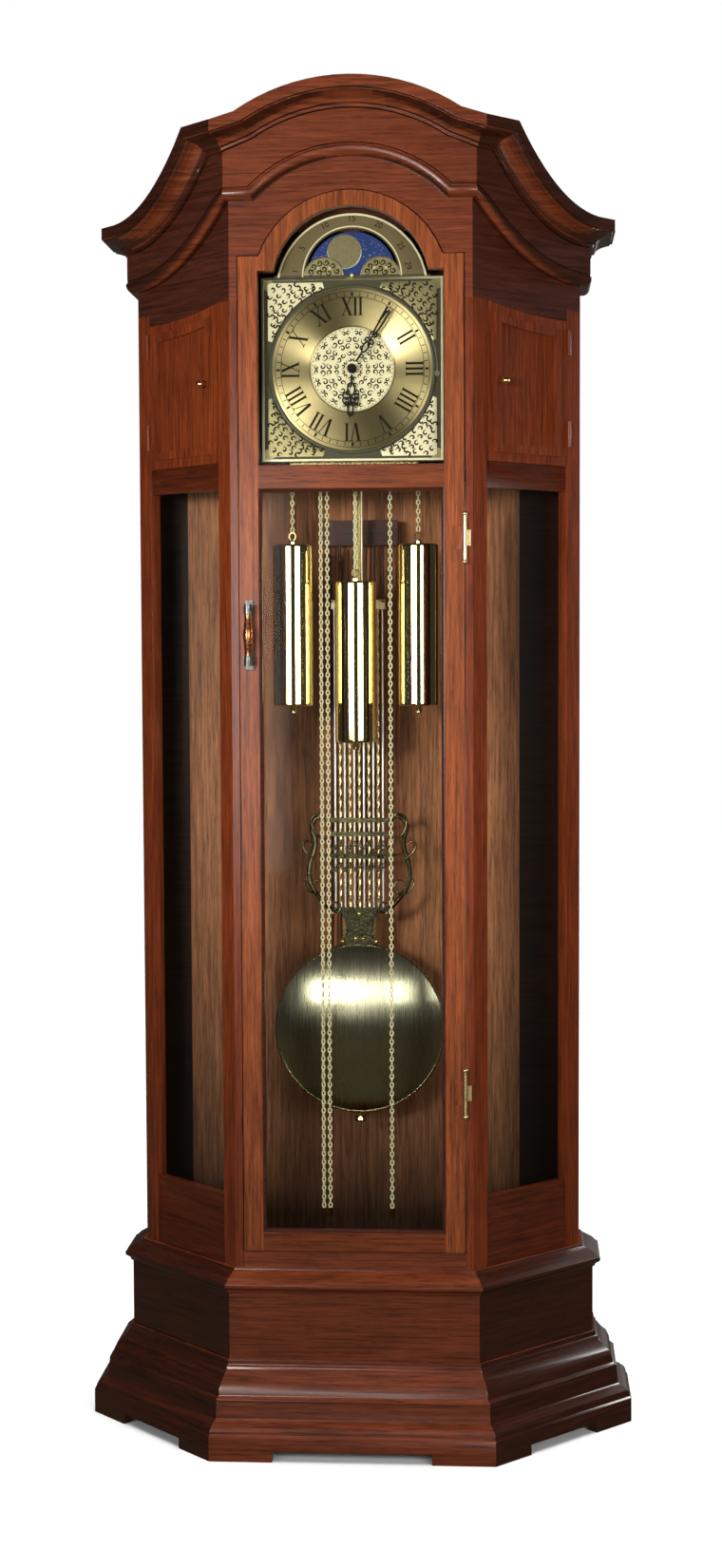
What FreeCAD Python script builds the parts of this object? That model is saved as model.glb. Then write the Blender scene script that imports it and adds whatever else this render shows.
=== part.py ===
import FreeCAD, Part
import math
import os
import Sketcher
from FreeCAD import Vector

# Longcase clock with canted sides: case, door, movement, pendulum, weights
doc = FreeCAD.newDocument("longcase_clock")
sheet = doc.addObject("Spreadsheet::Sheet", "Sizes")

# Driving dimensions in millimetres, depths measured back from the trunk front plane
SIZES = {
    "front_half": 184, "cant_depth": 166, "back_depth": 256, "board": 18, "back_board": 8,
    "flare": 83, "base_out": 22, "foot_high": 16, "skirt_top": 84, "plinth_top": 140,
    "panel_top": 252, "base_top": 266, "cap_high": 12, "cap_out": 34,
    "post_run": 21, "rail_recess": 3, "rail_thick": 14, "glass_thick": 3, "sill_top": 303,
    "low_rail_top": 386, "mid_rail_low": 1478, "mid_rail_top": 1517, "side_top": 1760,
    "door_strip": 13, "door_gap": 1.5, "door_thick": 20, "door_proud": 3, "stile": 30,
    "window_low": 334, "window_mid": 1476, "mid_top": 1512, "head_low": 1796,
    "shoulder": 1825, "door_apex": 1922, "shoulder_run": 32, "head_band": 22, "light_apex": 1899,
    "cornice_low": 1978, "cornice_high": 40, "cornice_out": 54, "cornice_rise": 62,
    "ear_run": 46, "sweep_drop": 120, "astragal_mid": 1916, "astragal_size": 18, "astragal_rise": 64,
    "astragal_flat": 34, "frieze_out": 16, "lay_gap": 0.9, "dust_top": 1880, "riser_top": 1936, "riser_thick": 12, "side_dip": 17,
    "dial_half": 140, "dial_mid": 1659, "dial_back": 38, "dial_thick": 2, "dial_radius": 116,
    "ring_outer": 125, "ring_inner": 84, "sky_radius": 72, "moon_radius": 68, "hump_radius": 30,
    "seat_top": 1506, "plate_half": 98, "plate_top": 1748, "plate_front": 56, "plate_rear": 114,
    "plate_thick": 3, "arbor_radius": 2, "bore_gap": 0.05, "running_gap": 0.4,
    "chain_plane": 85, "sprocket_radius": 22, "sprocket_mid": 1560, "weight_pitch": 98,
    "chain_radius": 2.5, "weight_radius": 32, "weight_long": 250, "side_weight_top": 1395,
    "middle_weight_top": 1338, "free_end": 352,
    "great_radius": 46, "second_radius": 40, "centre_radius": 34, "third_radius": 27, "escape_radius": 17,
    "leaves": 8, "great_ratio": 6, "second_ratio": 4, "third_ratio": 8, "escape_ratio": 7.5, "escape_mid": 1700,
    "swing_mid": 1728, "swing_plane": 150, "bob_mid": 628, "bob_radius": 137, "bob_dome": 22, "bob_rim": 10,
    "grid_top": 1303, "grid_low": 822, "grid_half": 38, "rod_radius": 2.4,
    "lyre_half": 80, "lyre_high": 146, "lyre_radius": 4,
    "hinge_low": 511, "hinge_high": 1358, "hinge_long": 84, "hinge_ball": 4, "hinge_clear": 0.3,
    "handle_low": 1202, "handle_long": 105, "handle_out": 22, "seat_thick": 18, "bracket_wide": 14,
    "chime_low": 1400, "chime_half": 60, "chime_block": 40, "chime_long": 700, "chime_step": 45,
}

# Sizes that follow from the driving ones
TIED = {
    "door_half": "(front_half - door_strip)",
    "door_spring": "(front_half - door_strip - shoulder_run)",
    "light_half": "(front_half - door_strip - shoulder_run - head_band)",
    "astragal_spring": "(front_half - astragal_flat)",
    "grid_high": "(grid_top - grid_low)",
}
for row, (name, size) in enumerate(SIZES.items(), start=1):
    sheet.set("A%d" % row, name)
    sheet.set("B%d" % row, str(size))
    sheet.setAlias("B%d" % row, name)
doc.recompute()

MITRE = math.tan(math.radians(22.5))
ROOT_HALF = math.sqrt(0.5)
FRONT_Y = "(Sizes.flare - Sizes.back_depth) / 2"
nodes = []


def size(name):
    """Value of one named size."""
    return value(name)


def term(text):
    """Expression text with bare names turned into sheet names, and tied ones written out."""
    words = []
    word = ""
    for letter in str(text) + " ":
        if letter.isalnum() or letter in "_.":
            word += letter
            continue
        if word in TIED:
            word = term(TIED[word])
        words.append("Sizes." + word if word in SIZES else word)
        words.append(letter)
        word = ""
    return "".join(words).strip()


def place(obj, x="0", y="0", z="0"):
    """Bind the place of an object, y measured back from the trunk front plane."""
    obj.setExpression("Placement.Base.x", term(x))
    obj.setExpression("Placement.Base.y", FRONT_Y + " + " + term(y))
    obj.setExpression("Placement.Base.z", term(z))
    return obj


def keep(obj, label):
    """Name an object as one piece of the clock."""
    obj.Label = label
    nodes.append(obj)
    return obj


def box(name, x0, x1, y0, y1, z0, z1):
    """Box between named limits."""
    obj = doc.addObject("Part::Box", name)
    obj.setExpression("Length", term("(%s) - (%s)" % (x1, x0)))
    obj.setExpression("Width", term("(%s) - (%s)" % (y1, y0)))
    obj.setExpression("Height", term("(%s) - (%s)" % (z1, z0)))
    return place(obj, x0, "(" + y0 + ")", z0)


def rod(name, radius, length, x, y, z, lying=False):
    """Round bar, upright or lying along the depth."""
    obj = doc.addObject("Part::Cylinder", name)
    obj.setExpression("Radius", term(radius))
    obj.setExpression("Height", term(length))
    if lying:
        obj.Placement = FreeCAD.Placement(Vector(), FreeCAD.Rotation(Vector(1, 0, 0), -90))
    return place(obj, x, y, z)


def fuse(name, pieces):
    """Join several pieces into one solid."""
    obj = doc.addObject("Part::MultiFuse", name)
    obj.Shapes = pieces
    obj.Refine = True
    return obj


def cut(name, base, tool):
    """Take one piece out of another."""
    obj = doc.addObject("Part::Cut", name)
    obj.Base = base
    obj.Tool = tool
    return obj


def common(name, first, second):
    """Part shared by two pieces."""
    obj = doc.addObject("Part::MultiCommon", name)
    obj.Shapes = [first, second]
    return obj


def outline(body, role, corners):
    """Closed sketch on one origin plane with every corner bound to named sizes."""
    sketch = body.newObject("Sketcher::SketchObject", body.Name + "_outline")
    plane = [f for f in body.Origin.OriginFeatures if f.Role == role][0]
    sketch.AttachmentSupport = (plane, [""])
    sketch.MapMode = "FlatFace"
    doc.recompute()
    spots = []
    for across, up in corners:
        spots.append(Vector(value(across), value(up), 0))
    count = len(spots)
    for i in range(count):
        sketch.addGeometry(Part.LineSegment(spots[i], spots[(i + 1) % count]))
    for i in range(count):
        sketch.addConstraint(Sketcher.Constraint("Coincident", i, 2, (i + 1) % count, 1))
    for i, corner in enumerate(corners):
        for axis, kind in ((0, "DistanceX"), (1, "DistanceY")):
            if abs(value(corner[axis])) < 1e-9:
                sketch.addConstraint(Sketcher.Constraint("PointOnObject", i, 1, -2 + axis))
                continue
            number = sketch.addConstraint(Sketcher.Constraint(kind, -1, 1, i, 1, value(corner[axis])))
            sketch.setExpression("Constraints[%d]" % number, term(corner[axis]))
    return sketch


def value(text):
    """Number behind an expression of named sizes."""
    return float(sheet.evalExpression(term(text)))


def slab(label, corners, z0, z1):
    """Upright board: plan outline padded between two heights."""
    body = doc.addObject("PartDesign::Body", label)
    sketch = outline(body, "XY_Plane", corners)
    pad = body.newObject("PartDesign::Pad", label + "_pad")
    pad.Profile = sketch
    pad.setExpression("Length", term("(%s) - (%s)" % (z1, z0)))
    body.Tip = pad
    return keep(place(body, "0", "0", z0), label)


def turned(label, profile, x, y, z, lying=False):
    """Turned piece: half profile of radius and height spun about its own axis."""
    body = doc.addObject("PartDesign::Body", label)
    sketch = outline(body, "XZ_Plane", profile)
    spin = body.newObject("PartDesign::Revolution", label + "_turn")
    spin.Profile = sketch
    spin.ReferenceAxis = (sketch, ["V_Axis"])
    spin.Angle = 360
    body.Tip = spin
    if lying:
        body.Placement = FreeCAD.Placement(Vector(), FreeCAD.Rotation(Vector(1, 0, 0), -90))
    return keep(place(body, x, y, z), label)


def flat_faces(corners):
    """One flat face through four corners, or two where they don't lie in a plane."""
    first, second, third, fourth = corners
    normal = (third - first).cross(fourth - second)
    if normal.Length < 1e-7:
        return []
    if abs((second - first).dot(normal)) < 1e-8 * normal.Length:
        return [Part.Face(Part.makePolygon(corners + corners[:1]))]
    return [Part.Face(Part.makePolygon([first, second, third, first])),
            Part.Face(Part.makePolygon([first, third, fourth, first]))]


def solid_through(rings):
    """Solid through matching rings of points: flat faces between rings, closed by flat ends."""
    faces = []
    count = len(rings[0])
    for near, far in zip(rings, rings[1:]):
        for i in range(count):
            j = (i + 1) % count
            faces.extend(flat_faces([near[i], near[j], far[j], far[i]]))
    for ring in (rings[0], rings[-1]):
        faces.append(Part.Face(Part.makePolygon(ring + ring[:1])))
    shell = Part.makeShell(faces)
    shell.sewShape()
    shape = Part.makeSolid(shell)
    if shape.Volume < 0:
        shape.reverse()
    return shape


def skin(label, rings):
    """Solid through rings kept as one piece, for runs that turn or sweep."""
    obj = doc.addObject("Part::Feature", label)
    obj.Shape = solid_through(rings)
    return keep(place(obj), label)


FRONT_HALF = size("front_half")
CANT = size("cant_depth")
REAR_HALF = FRONT_HALF + CANT
BACK = size("back_depth")
SIDES = (("left", -1), ("right", 1))


# Stations around the plan: each turns an outward offset and a height into a point
def front_corner(side):
    return lambda out, high: Vector(side * (FRONT_HALF + MITRE * out), -out, high)


def rear_corner(side):
    return lambda out, high: Vector(side * (REAR_HALF + out), CANT - MITRE * out, high)


def back_end(side):
    return lambda out, high: Vector(side * (REAR_HALF + out), BACK, high)


def on_front(across):
    return lambda out, high: Vector(across, -out, high)


def on_cant(side, run):
    return lambda out, high: Vector(
        side * (FRONT_HALF + (run + out) * ROOT_HALF), (run - out) * ROOT_HALF, high)


def run_through(label, stations, profile):
    """Moulding length: one profile of offsets and heights carried through mitred stations."""
    rings = []
    for station in stations:
        rings.append([station(out, high) for out, high in profile])
    return skin(label, rings)


def course(name, profile):
    """One level moulding around the front, both cants and both ends."""
    run_through(name + "_front", [front_corner(-1), front_corner(1)], profile)
    for word, side in SIDES:
        run_through(name + "_" + word, [front_corner(side), rear_corner(side), back_end(side)], profile)


# Base: panels, flared plinth, skirt, feet, cap moulding and top board
out_base = size("base_out")
skirt_top = size("skirt_top")
panel_top = size("panel_top")
base_top = size("base_top")
flare = size("flare")
foot_high = size("foot_high")
board = size("board")
course("base_panel", [
    (out_base, foot_high + 40), (out_base, panel_top), (out_base - board, panel_top),
    (out_base - board, foot_high + 40)])
plinth_top = size("plinth_top")
rise = plinth_top - skirt_top
reach = flare - out_base
course("plinth_moulding", [
    (out_base, skirt_top), (out_base + 0.62 * reach, skirt_top), (out_base + 0.62 * reach, skirt_top + 0.08 * rise),
    (out_base + 0.52 * reach, skirt_top + 0.14 * rise), (out_base + 0.50 * reach, skirt_top + 0.30 * rise),
    (out_base + 0.42 * reach, skirt_top + 0.48 * rise), (out_base + 0.26 * reach, skirt_top + 0.62 * rise),
    (out_base + 0.15 * reach, skirt_top + 0.76 * rise), (out_base + 0.13 * reach, skirt_top + 0.84 * rise),
    (out_base + 0.08 * reach, skirt_top + 0.86 * rise), (out_base + 0.08 * reach, plinth_top),
    (out_base, plinth_top)])
drop = skirt_top - foot_high
course("skirt", [
    (out_base, skirt_top), (out_base, skirt_top - 14), (out_base + 0.45 * reach, skirt_top - 14),
    (out_base + 0.68 * reach, foot_high), (flare, foot_high), (flare, foot_high + 0.32 * drop),
    (flare - 3, foot_high + 0.36 * drop), (flare - 3, foot_high + 0.42 * drop),
    (flare - 6, foot_high + 0.50 * drop), (flare - 13, foot_high + 0.57 * drop),
    (flare - 18, foot_high + 0.60 * drop), (out_base + 0.66 * reach, foot_high + 0.64 * drop),
    (out_base + 0.62 * reach, skirt_top)])
foot_profile = [(flare - 19, 0), (flare, 0), (flare, foot_high), (flare - 19, foot_high)]
cant_long = CANT / ROOT_HALF
for word, side in SIDES:
    run_through("foot_front_" + word, [
        on_front(side * 0.66 * FRONT_HALF), front_corner(side), on_cant(side, 0.18 * cant_long)], foot_profile)
    run_through("foot_rear_" + word, [
        on_cant(side, 0.80 * cant_long), rear_corner(side), back_end(side)], foot_profile)
cap_out = size("cap_out")
cap_high = size("cap_high")
course("base_cap", [
    (out_base, base_top), (out_base, panel_top - 8), (out_base + 3, panel_top - 8),
    (out_base + 5, panel_top - 3), (cap_out - 2, panel_top), (cap_out, panel_top + 2),
    (cap_out, panel_top + 7), (cap_out - 5, panel_top + 10), (cap_out - 9, base_top),
    (out_base - 6, base_top + 0.4 * cap_high), (7, base_top + 0.75 * cap_high), (6, base_top + cap_high),
    (0, base_top + cap_high), (0, base_top)])


def case_plan(inset, back):
    """Plan outline of the case set in from the trunk faces."""
    reach_front = "front_half - %r * (%s)" % (MITRE, inset)
    reach_rear = "front_half + cant_depth - (%s)" % inset
    turn = "cant_depth + %r * (%s)" % (MITRE, inset)
    half = [(reach_front, inset), (reach_rear, turn), (reach_rear, back)]
    mirror = [("-1 * (%s)" % across, deep) for across, deep in reversed(half)]
    return half + mirror


slab("base_top_board", case_plan("-1 * base_out", "back_depth - back_board"), "panel_top", "base_top")

# Trunk: posts, end boards, rails, side glasses, sill, back panel
def cant_point(side, run, inset):
    """Plan point on a canted face, as expressions."""
    across = "%d * (front_half + (%s) - %r * (%s))" % (side, run, ROOT_HALF, inset)
    deep = "(%s) + %r * (%s)" % (run, ROOT_HALF, inset)
    return across, deep


for word, side in SIDES:
    slab("front_post_" + word, [
        ("%d * (door_half + door_gap)" % side, "0"), ("%d * front_half" % side, "0"),
        cant_point(side, "post_run", "0"), cant_point(side, "post_run", "board"),
        ("%d * (front_half - %r * board)" % (side, MITRE), "board"),
        ("%d * (door_half + door_gap)" % side, "board")], "base_top", "side_top")
    slab("rear_post_" + word, [
        cant_point(side, "cant_depth - post_run", "0"), cant_point(side, "cant_depth", "0"),
        ("%d * (front_half + cant_depth - board)" % side, "cant_depth + %r * board" % MITRE),
        cant_point(side, "cant_depth - post_run", "board")], "base_top", "side_top")
    slab("end_board_" + word, [
        ("%d * (front_half + cant_depth)" % side, "cant_depth"),
        ("%d * (front_half + cant_depth)" % side, "back_depth - back_board"),
        ("%d * (front_half + cant_depth - board)" % side, "back_depth - back_board"),
        ("%d * (front_half + cant_depth - board)" % side, "cant_depth + %r * board" % MITRE)],
        "base_top", "dust_top")
    for name, low, high in (("low_rail_", "base_top", "low_rail_top"), ("mid_rail_", "mid_rail_low", "mid_rail_top")):
        slab(name + word, [
            cant_point(side, "post_run", "rail_recess"), cant_point(side, "cant_depth - post_run", "rail_recess"),
            cant_point(side, "cant_depth - post_run", "rail_recess + rail_thick"),
            cant_point(side, "post_run", "rail_recess + rail_thick")], low, high)
    slab("side_glass_" + word, [
        cant_point(side, "post_run", "rail_recess + 5"), cant_point(side, "cant_depth - post_run", "rail_recess + 5"),
        cant_point(side, "cant_depth - post_run", "rail_recess + 5 + glass_thick"),
        cant_point(side, "post_run", "rail_recess + 5 + glass_thick")], "low_rail_top", "mid_rail_low")
keep(box("sill_rail", "-door_half - door_gap", "door_half + door_gap", "0", "board", "base_top", "sill_top"), "sill_rail")
keep(box("back_panel", "-front_half - cant_depth", "front_half + cant_depth", "back_depth - back_board", "back_depth",
         "foot_high + 40", "dust_top"), "back_panel")
slab("dust_sheet", [
    ("-1 * (front_half + 46 - 1.42 * board)", "46"), ("front_half + 46 - 1.42 * board", "46"),
    ("front_half + cant_depth - board", "cant_depth + %r * board" % MITRE),
    ("front_half + cant_depth - board", "back_depth - back_board"),
    ("-1 * (front_half + cant_depth - board)", "back_depth - back_board"),
    ("-1 * (front_half + cant_depth - board)", "cant_depth + %r * board" % MITRE)], "dust_top - 12", "dust_top")
keep(box("dust_riser", "board - front_half", "front_half - board", "46", "46 + riser_thick", "dust_top", "riser_top"),
     "dust_riser")


# Hood: arched header, swept canted friezes, cornice and astragal
def arc_points(half, low, lift, count):
    """Points of a circular arch over a chord, left to right, ends included."""
    radius = (half * half + lift * lift) / (2 * lift)
    middle = low + lift - radius
    start = math.asin(half / radius)
    points = []
    for i in range(count + 1):
        angle = -start + 2 * start * i / count
        points.append((radius * math.sin(angle), middle + radius * math.cos(angle)))
    return points


def sweep_points(start, top, fall, count):
    """Points of the concave side sweep from its start along the cant to the rear corner."""
    points = []
    for i in range(count + 1):
        part = i / count
        points.append((start + (cant_long - start) * part, top - fall * (1 - (1 - part) ** 2.1)))
    return points


def fall_line(run):
    """Height of the curved edge between a canted frieze and the side door under it."""
    near = size("post_run") / ROOT_HALF
    part = (run - near) / (cant_long - 2 * near)
    return size("side_top") - size("side_dip") * (1 - (1 - part) ** 2.1)


def path_rings(path, profile, spot, first, last):
    """Rings of a profile along a flat path, mitred at each turn, with given end stations."""
    rings = []
    count = len(path)
    for i, (along, high) in enumerate(path):
        if i == 0:
            rings.append([first(out, high + up) for out, up in profile])
            continue
        if i == count - 1:
            rings.append([last(out, high + up) for out, up in profile])
            continue
        before = math.atan2(high - path[i - 1][1], along - path[i - 1][0])
        after = math.atan2(path[i + 1][1] - high, path[i + 1][0] - along)
        middle = (before + after) / 2
        stretch = 1 / math.cos((after - before) / 2)
        ring = []
        for out, up in profile:
            ring.append(spot(along - up * stretch * math.sin(middle), out, high + up * stretch * math.cos(middle)))
        rings.append(ring)
    return rings


def shifted(path, up):
    """Path moved square to itself, and straight up at its two ends, as the rings of a profile are."""
    rings = path_rings(path, [(0, up)], lambda along, out, high: (along, high),
                       lambda out, high: (path[0][0], high), lambda out, high: (path[-1][0], high))
    return [ring[0] for ring in rings]


def plate_between(label, corners, spot, near, far):
    """Flat shaped board between two offsets, with mitred ends from the stations."""
    return skin(label, [[spot(a, near, z) for a, z in corners], [spot(a, far, z) for a, z in corners]])


def front_spot(across, out, high):
    """Point on the hood front; the extreme ends run into the corner mitre."""
    if abs(abs(across) - FRONT_HALF) < 1e-6:
        return front_corner(math.copysign(1, across))(out, high)
    return Vector(across, -out, high)


def cant_spot(side):
    def spot(run, out, high):
        if run < 1e-6:
            return front_corner(side)(out, high)
        if run > cant_long - 1e-6:
            return rear_corner(side)(out, high)
        return on_cant(side, run)(out, high)
    return spot


gap = size("door_gap")
door_half = size("door_half")
side_top = size("side_top")
cornice_high = size("cornice_high")
cornice_top = size("cornice_low") + cornice_high
cornice_out = size("cornice_out")
tuck = 6
opening = [(door_half + gap, side_top), (door_half + gap, size("shoulder") + gap)]
door_arch = arc_points(size("door_spring") + gap, size("shoulder") + gap, size("door_apex") - size("shoulder"), 16)
opening += list(reversed(door_arch))
opening += [(-door_half - gap, size("shoulder") + gap), (-door_half - gap, side_top)]
full_crown = arc_points(FRONT_HALF + 0.9, cornice_top - tuck, size("cornice_rise"), 20)
crown = [spot for spot in full_crown if abs(spot[0]) < FRONT_HALF - board]
plate_between("hood_board", opening + [(-FRONT_HALF, side_top), (-FRONT_HALF, cornice_top - tuck)] + crown
              + [(FRONT_HALF, cornice_top - tuck), (FRONT_HALF, side_top)], front_spot, 0, -board)
frieze_out = size("frieze_out")
lay_gap = size("lay_gap")
run_out = cornice_out - frieze_out
cornice_profile = [
    (0, 0), (cornice_out, 0), (cornice_out, -0.45 * cornice_high), (cornice_out - 4, -0.45 * cornice_high),
    (cornice_out - 4, -0.51 * cornice_high)]
for share, drop in ((0.70, 0.55), (0.50, 0.61), (0.34, 0.70), (0.26, 0.80), (0.24, 0.86), (0.12, 0.88), (0.12, 1.0)):
    cornice_profile.append((frieze_out + share * run_out, -drop * cornice_high))
cornice_profile.append((0, -cornice_high))
arch = arc_points(FRONT_HALF + 0.9, cornice_top, size("cornice_rise"), 20)
path = [(-FRONT_HALF, cornice_top)] + arch[1:-1] + [(FRONT_HALF, cornice_top)]
bead = size("astragal_size") / 2
bead_profile = [(0, -bead)]
for i in range(7):
    turn = math.pi / 2 * i / 6
    bead_profile.append((0.4 * frieze_out + (0.6 * frieze_out + 2) * math.sin(turn), 0.3 * bead - 1.3 * bead * math.cos(turn)))
bead_profile += [(frieze_out + 2, 0.55 * bead), (frieze_out, 0.6 * bead), (frieze_out, bead), (0, bead)]
front_cornice = path
skin("cornice_front", path_rings(path, cornice_profile, lambda a, out, z: Vector(a, -out, z),
                                 front_corner(-1), front_corner(1)))
astragal_mid = size("astragal_mid")
arch = arc_points(size("astragal_spring"), astragal_mid, size("astragal_rise"), 18)
path = [(-FRONT_HALF, astragal_mid)] + arch + [(FRONT_HALF, astragal_mid)]
skin("astragal_front", path_rings(path, bead_profile, lambda a, out, z: Vector(a, -out, z),
                                  front_corner(-1), front_corner(1)))


def laid_board(label, under, over, spot):
    """Frieze board laid on the hood between a lower moulding and the cornice, clear of both."""
    low_edge = shifted(under, bead + lay_gap)
    top_edge = shifted(over, -cornice_high - lay_gap)
    return plate_between(label, low_edge + list(reversed(top_edge)), spot, 0, frieze_out)


laid_board("frieze_face", path, front_cornice, front_spot)
fall = size("sweep_drop")
for word, side in SIDES:
    sweep = sweep_points(size("ear_run"), cornice_top, fall, 14)
    path = [(0, cornice_top)] + sweep
    spot = cant_spot(side)
    rings = path_rings(path, cornice_profile, lambda a, out, z: on_cant(side, a)(out, z),
                       front_corner(side), rear_corner(side))
    rings.append([back_end(side)(out, path[-1][1] + up) for out, up in cornice_profile])
    skin("cornice_" + word, rings)
    under = [(run, high - tuck * 1.6) for run, high in sweep_points(size("ear_run"), cornice_top, fall, 14)]
    under = [(0, cornice_top - tuck)] + under
    post = size("post_run") / ROOT_HALF
    edge = [(cant_long, side_top), (cant_long - post, side_top)]
    for i in range(11):
        run = cant_long - post - (cant_long - 2 * post) * i / 10
        edge.append((run, fall_line(run)))
    plate_between("frieze_board_" + word, [(0, side_top), *under, *edge], spot, 0, -board)
    lower = sweep_points(0, astragal_mid, 0.9 * fall, 14)
    rings = path_rings(lower, bead_profile, lambda a, out, z: on_cant(side, a)(out, z),
                       front_corner(side), rear_corner(side))
    rings.append([back_end(side)(out, lower[-1][1] + up) for out, up in bead_profile])
    skin("astragal_" + word, rings)
    laid_board("frieze_face_" + word, lower, path, spot)
    low_end = lower[-1][1] + bead + lay_gap
    top_end = path[-1][1] - cornice_high - lay_gap
    run_through("frieze_end_" + word, [rear_corner(side), back_end(side)], [
        (0, low_end), (frieze_out, low_end), (frieze_out, top_end), (0, top_end)])

# Front door: stiles, rails, arched head, glasses, handle and hinges
door_front = -size("door_proud")
door_rear = door_front + size("door_thick")
DOOR_NEAR = "-door_proud"
DOOR_FAR = "door_thick - door_proud"
door_low = "sill_top + door_gap"
keep(box("door_stile_left", "-door_half", "-door_half + stile", DOOR_NEAR, DOOR_FAR, door_low, "head_low"), "door_stile_left")
keep(box("door_stile_right", "door_half - stile", "door_half", DOOR_NEAR, DOOR_FAR, door_low, "head_low"), "door_stile_right")
inner = "door_half - stile"
keep(box("door_rail_low", "-(%s)" % inner, inner, DOOR_NEAR, DOOR_FAR, door_low, "window_low"), "door_rail_low")
keep(box("door_rail_mid", "-(%s)" % inner, inner, DOOR_NEAR, DOOR_FAR, "window_mid", "mid_top"), "door_rail_mid")
GLASS_NEAR = "door_thick - door_proud - 8"
keep(box("door_glass_low", "-(%s)" % inner, inner, GLASS_NEAR, GLASS_NEAR + " + glass_thick", "window_low", "window_mid"),
     "door_glass_low")
head_low = size("head_low")
light_half = size("light_half")
step = head_low + 7
head_outer = [(-door_half, head_low), (-door_half, size("shoulder"))]
head_outer += arc_points(size("door_spring"), size("shoulder"), size("door_apex") - size("shoulder"), 16)
head_outer += [(door_half, size("shoulder")), (door_half, head_low)]
inner_half = door_half - size("stile")
light = arc_points(light_half, step, size("light_apex") - step, 16)
head_inner = [(inner_half, head_low), (inner_half, step)] + list(reversed(light)) + [(-inner_half, step), (-inner_half, head_low)]


def flat_spot(across, out, high):
    return Vector(across, -out, high)


plate_between("door_head", head_outer + head_inner, flat_spot, -door_front, -door_rear)
glass_near = door_rear - 8
pane = [(-inner_half, size("mid_top")), (-inner_half, step)] + light + [(inner_half, step), (inner_half, size("mid_top"))]
plate_between("door_glass_high", pane, flat_spot, -glass_near, -glass_near - size("glass_thick"))


def scatter(label, pieces):
    """Several like pieces kept as one node."""
    return keep(fuse(label, pieces), label)


# Hinges on the right stile, with ball ends, and the leaves on the door
HINGE_X = "door_half + door_gap / 2"
HINGE_Y = "-door_proud - hinge_ball - hinge_clear"
barrels = []
leaves = []
for i, low in enumerate(("hinge_low", "hinge_high")):
    barrels.append(rod("barrel_%d" % i, "0.75 * hinge_ball", "hinge_long - 4 * hinge_ball", HINGE_X, HINGE_Y,
                       low + " + 2 * hinge_ball"))
    for j, rise_by in enumerate(("1.5 * hinge_ball", "hinge_long - 1.5 * hinge_ball")):
        ball = doc.addObject("Part::Sphere", "hinge_ball_%d_%d" % (i, j))
        ball.setExpression("Radius", term("hinge_ball"))
        barrels.append(place(ball, HINGE_X, HINGE_Y, low + " + " + rise_by))
    wing_low = low + " + 0.36 * hinge_long"
    wing_top = low + " + 0.64 * hinge_long"
    barrels.append(box("hinge_wing_%d" % i, HINGE_X, "front_half - 3", "-3.5", "0", wing_low, wing_top))
    barrels.append(box("hinge_web_%d" % i, HINGE_X, HINGE_X + " + 0.7 * hinge_ball", HINGE_Y, "-1", wing_low, wing_top))
    leaves.append(box("hinge_leaf_%d" % i, "door_half - 16", "door_half - 2.1", "-door_proud - 1.4", "-door_proud",
                      low + " + 0.29 * hinge_long", low + " + 0.71 * hinge_long"))
scatter("hinge_barrels", barrels)
scatter("hinge_leaves", leaves)

# Handle: two cast ends and a turned grip
HANDLE_X = "-door_half + stile / 2"
ends = []
for i, low in enumerate(("handle_low", "handle_low + 0.75 * handle_long")):
    ends.append(box("handle_foot_%d" % i, HANDLE_X + " - 6", HANDLE_X + " + 6", "-door_proud - 4", "-door_proud",
                    low, low + " + 0.25 * handle_long"))
    ends.append(rod("handle_neck_%d" % i, "4.5", "handle_out - 6", HANDLE_X, "-door_proud - handle_out + 2",
                    low + " + 0.125 * handle_long", True))
    ends.append(rod("handle_cup_%d" % i, "6", "14", HANDLE_X, "-door_proud - handle_out",
                    low + " + 0.125 * handle_long - 7"))
scatter("handle_ends", ends)
turned("handle_grip", [
    ("0", "0"), ("5", "0"), ("5", "0.065 * handle_long"), ("5.5", "0.175 * handle_long"), ("7.5", "0.365 * handle_long"),
    ("5.5", "0.565 * handle_long"), ("5", "0.685 * handle_long"), ("5", "0.75 * handle_long"), ("0", "0.75 * handle_long")],
    HANDLE_X, "-door_proud - handle_out", "handle_low + 0.125 * handle_long")

# Side doors: framed panel with raised moulding, knob near the front edge
side_gap = size("running_gap") + 0.1


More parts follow.
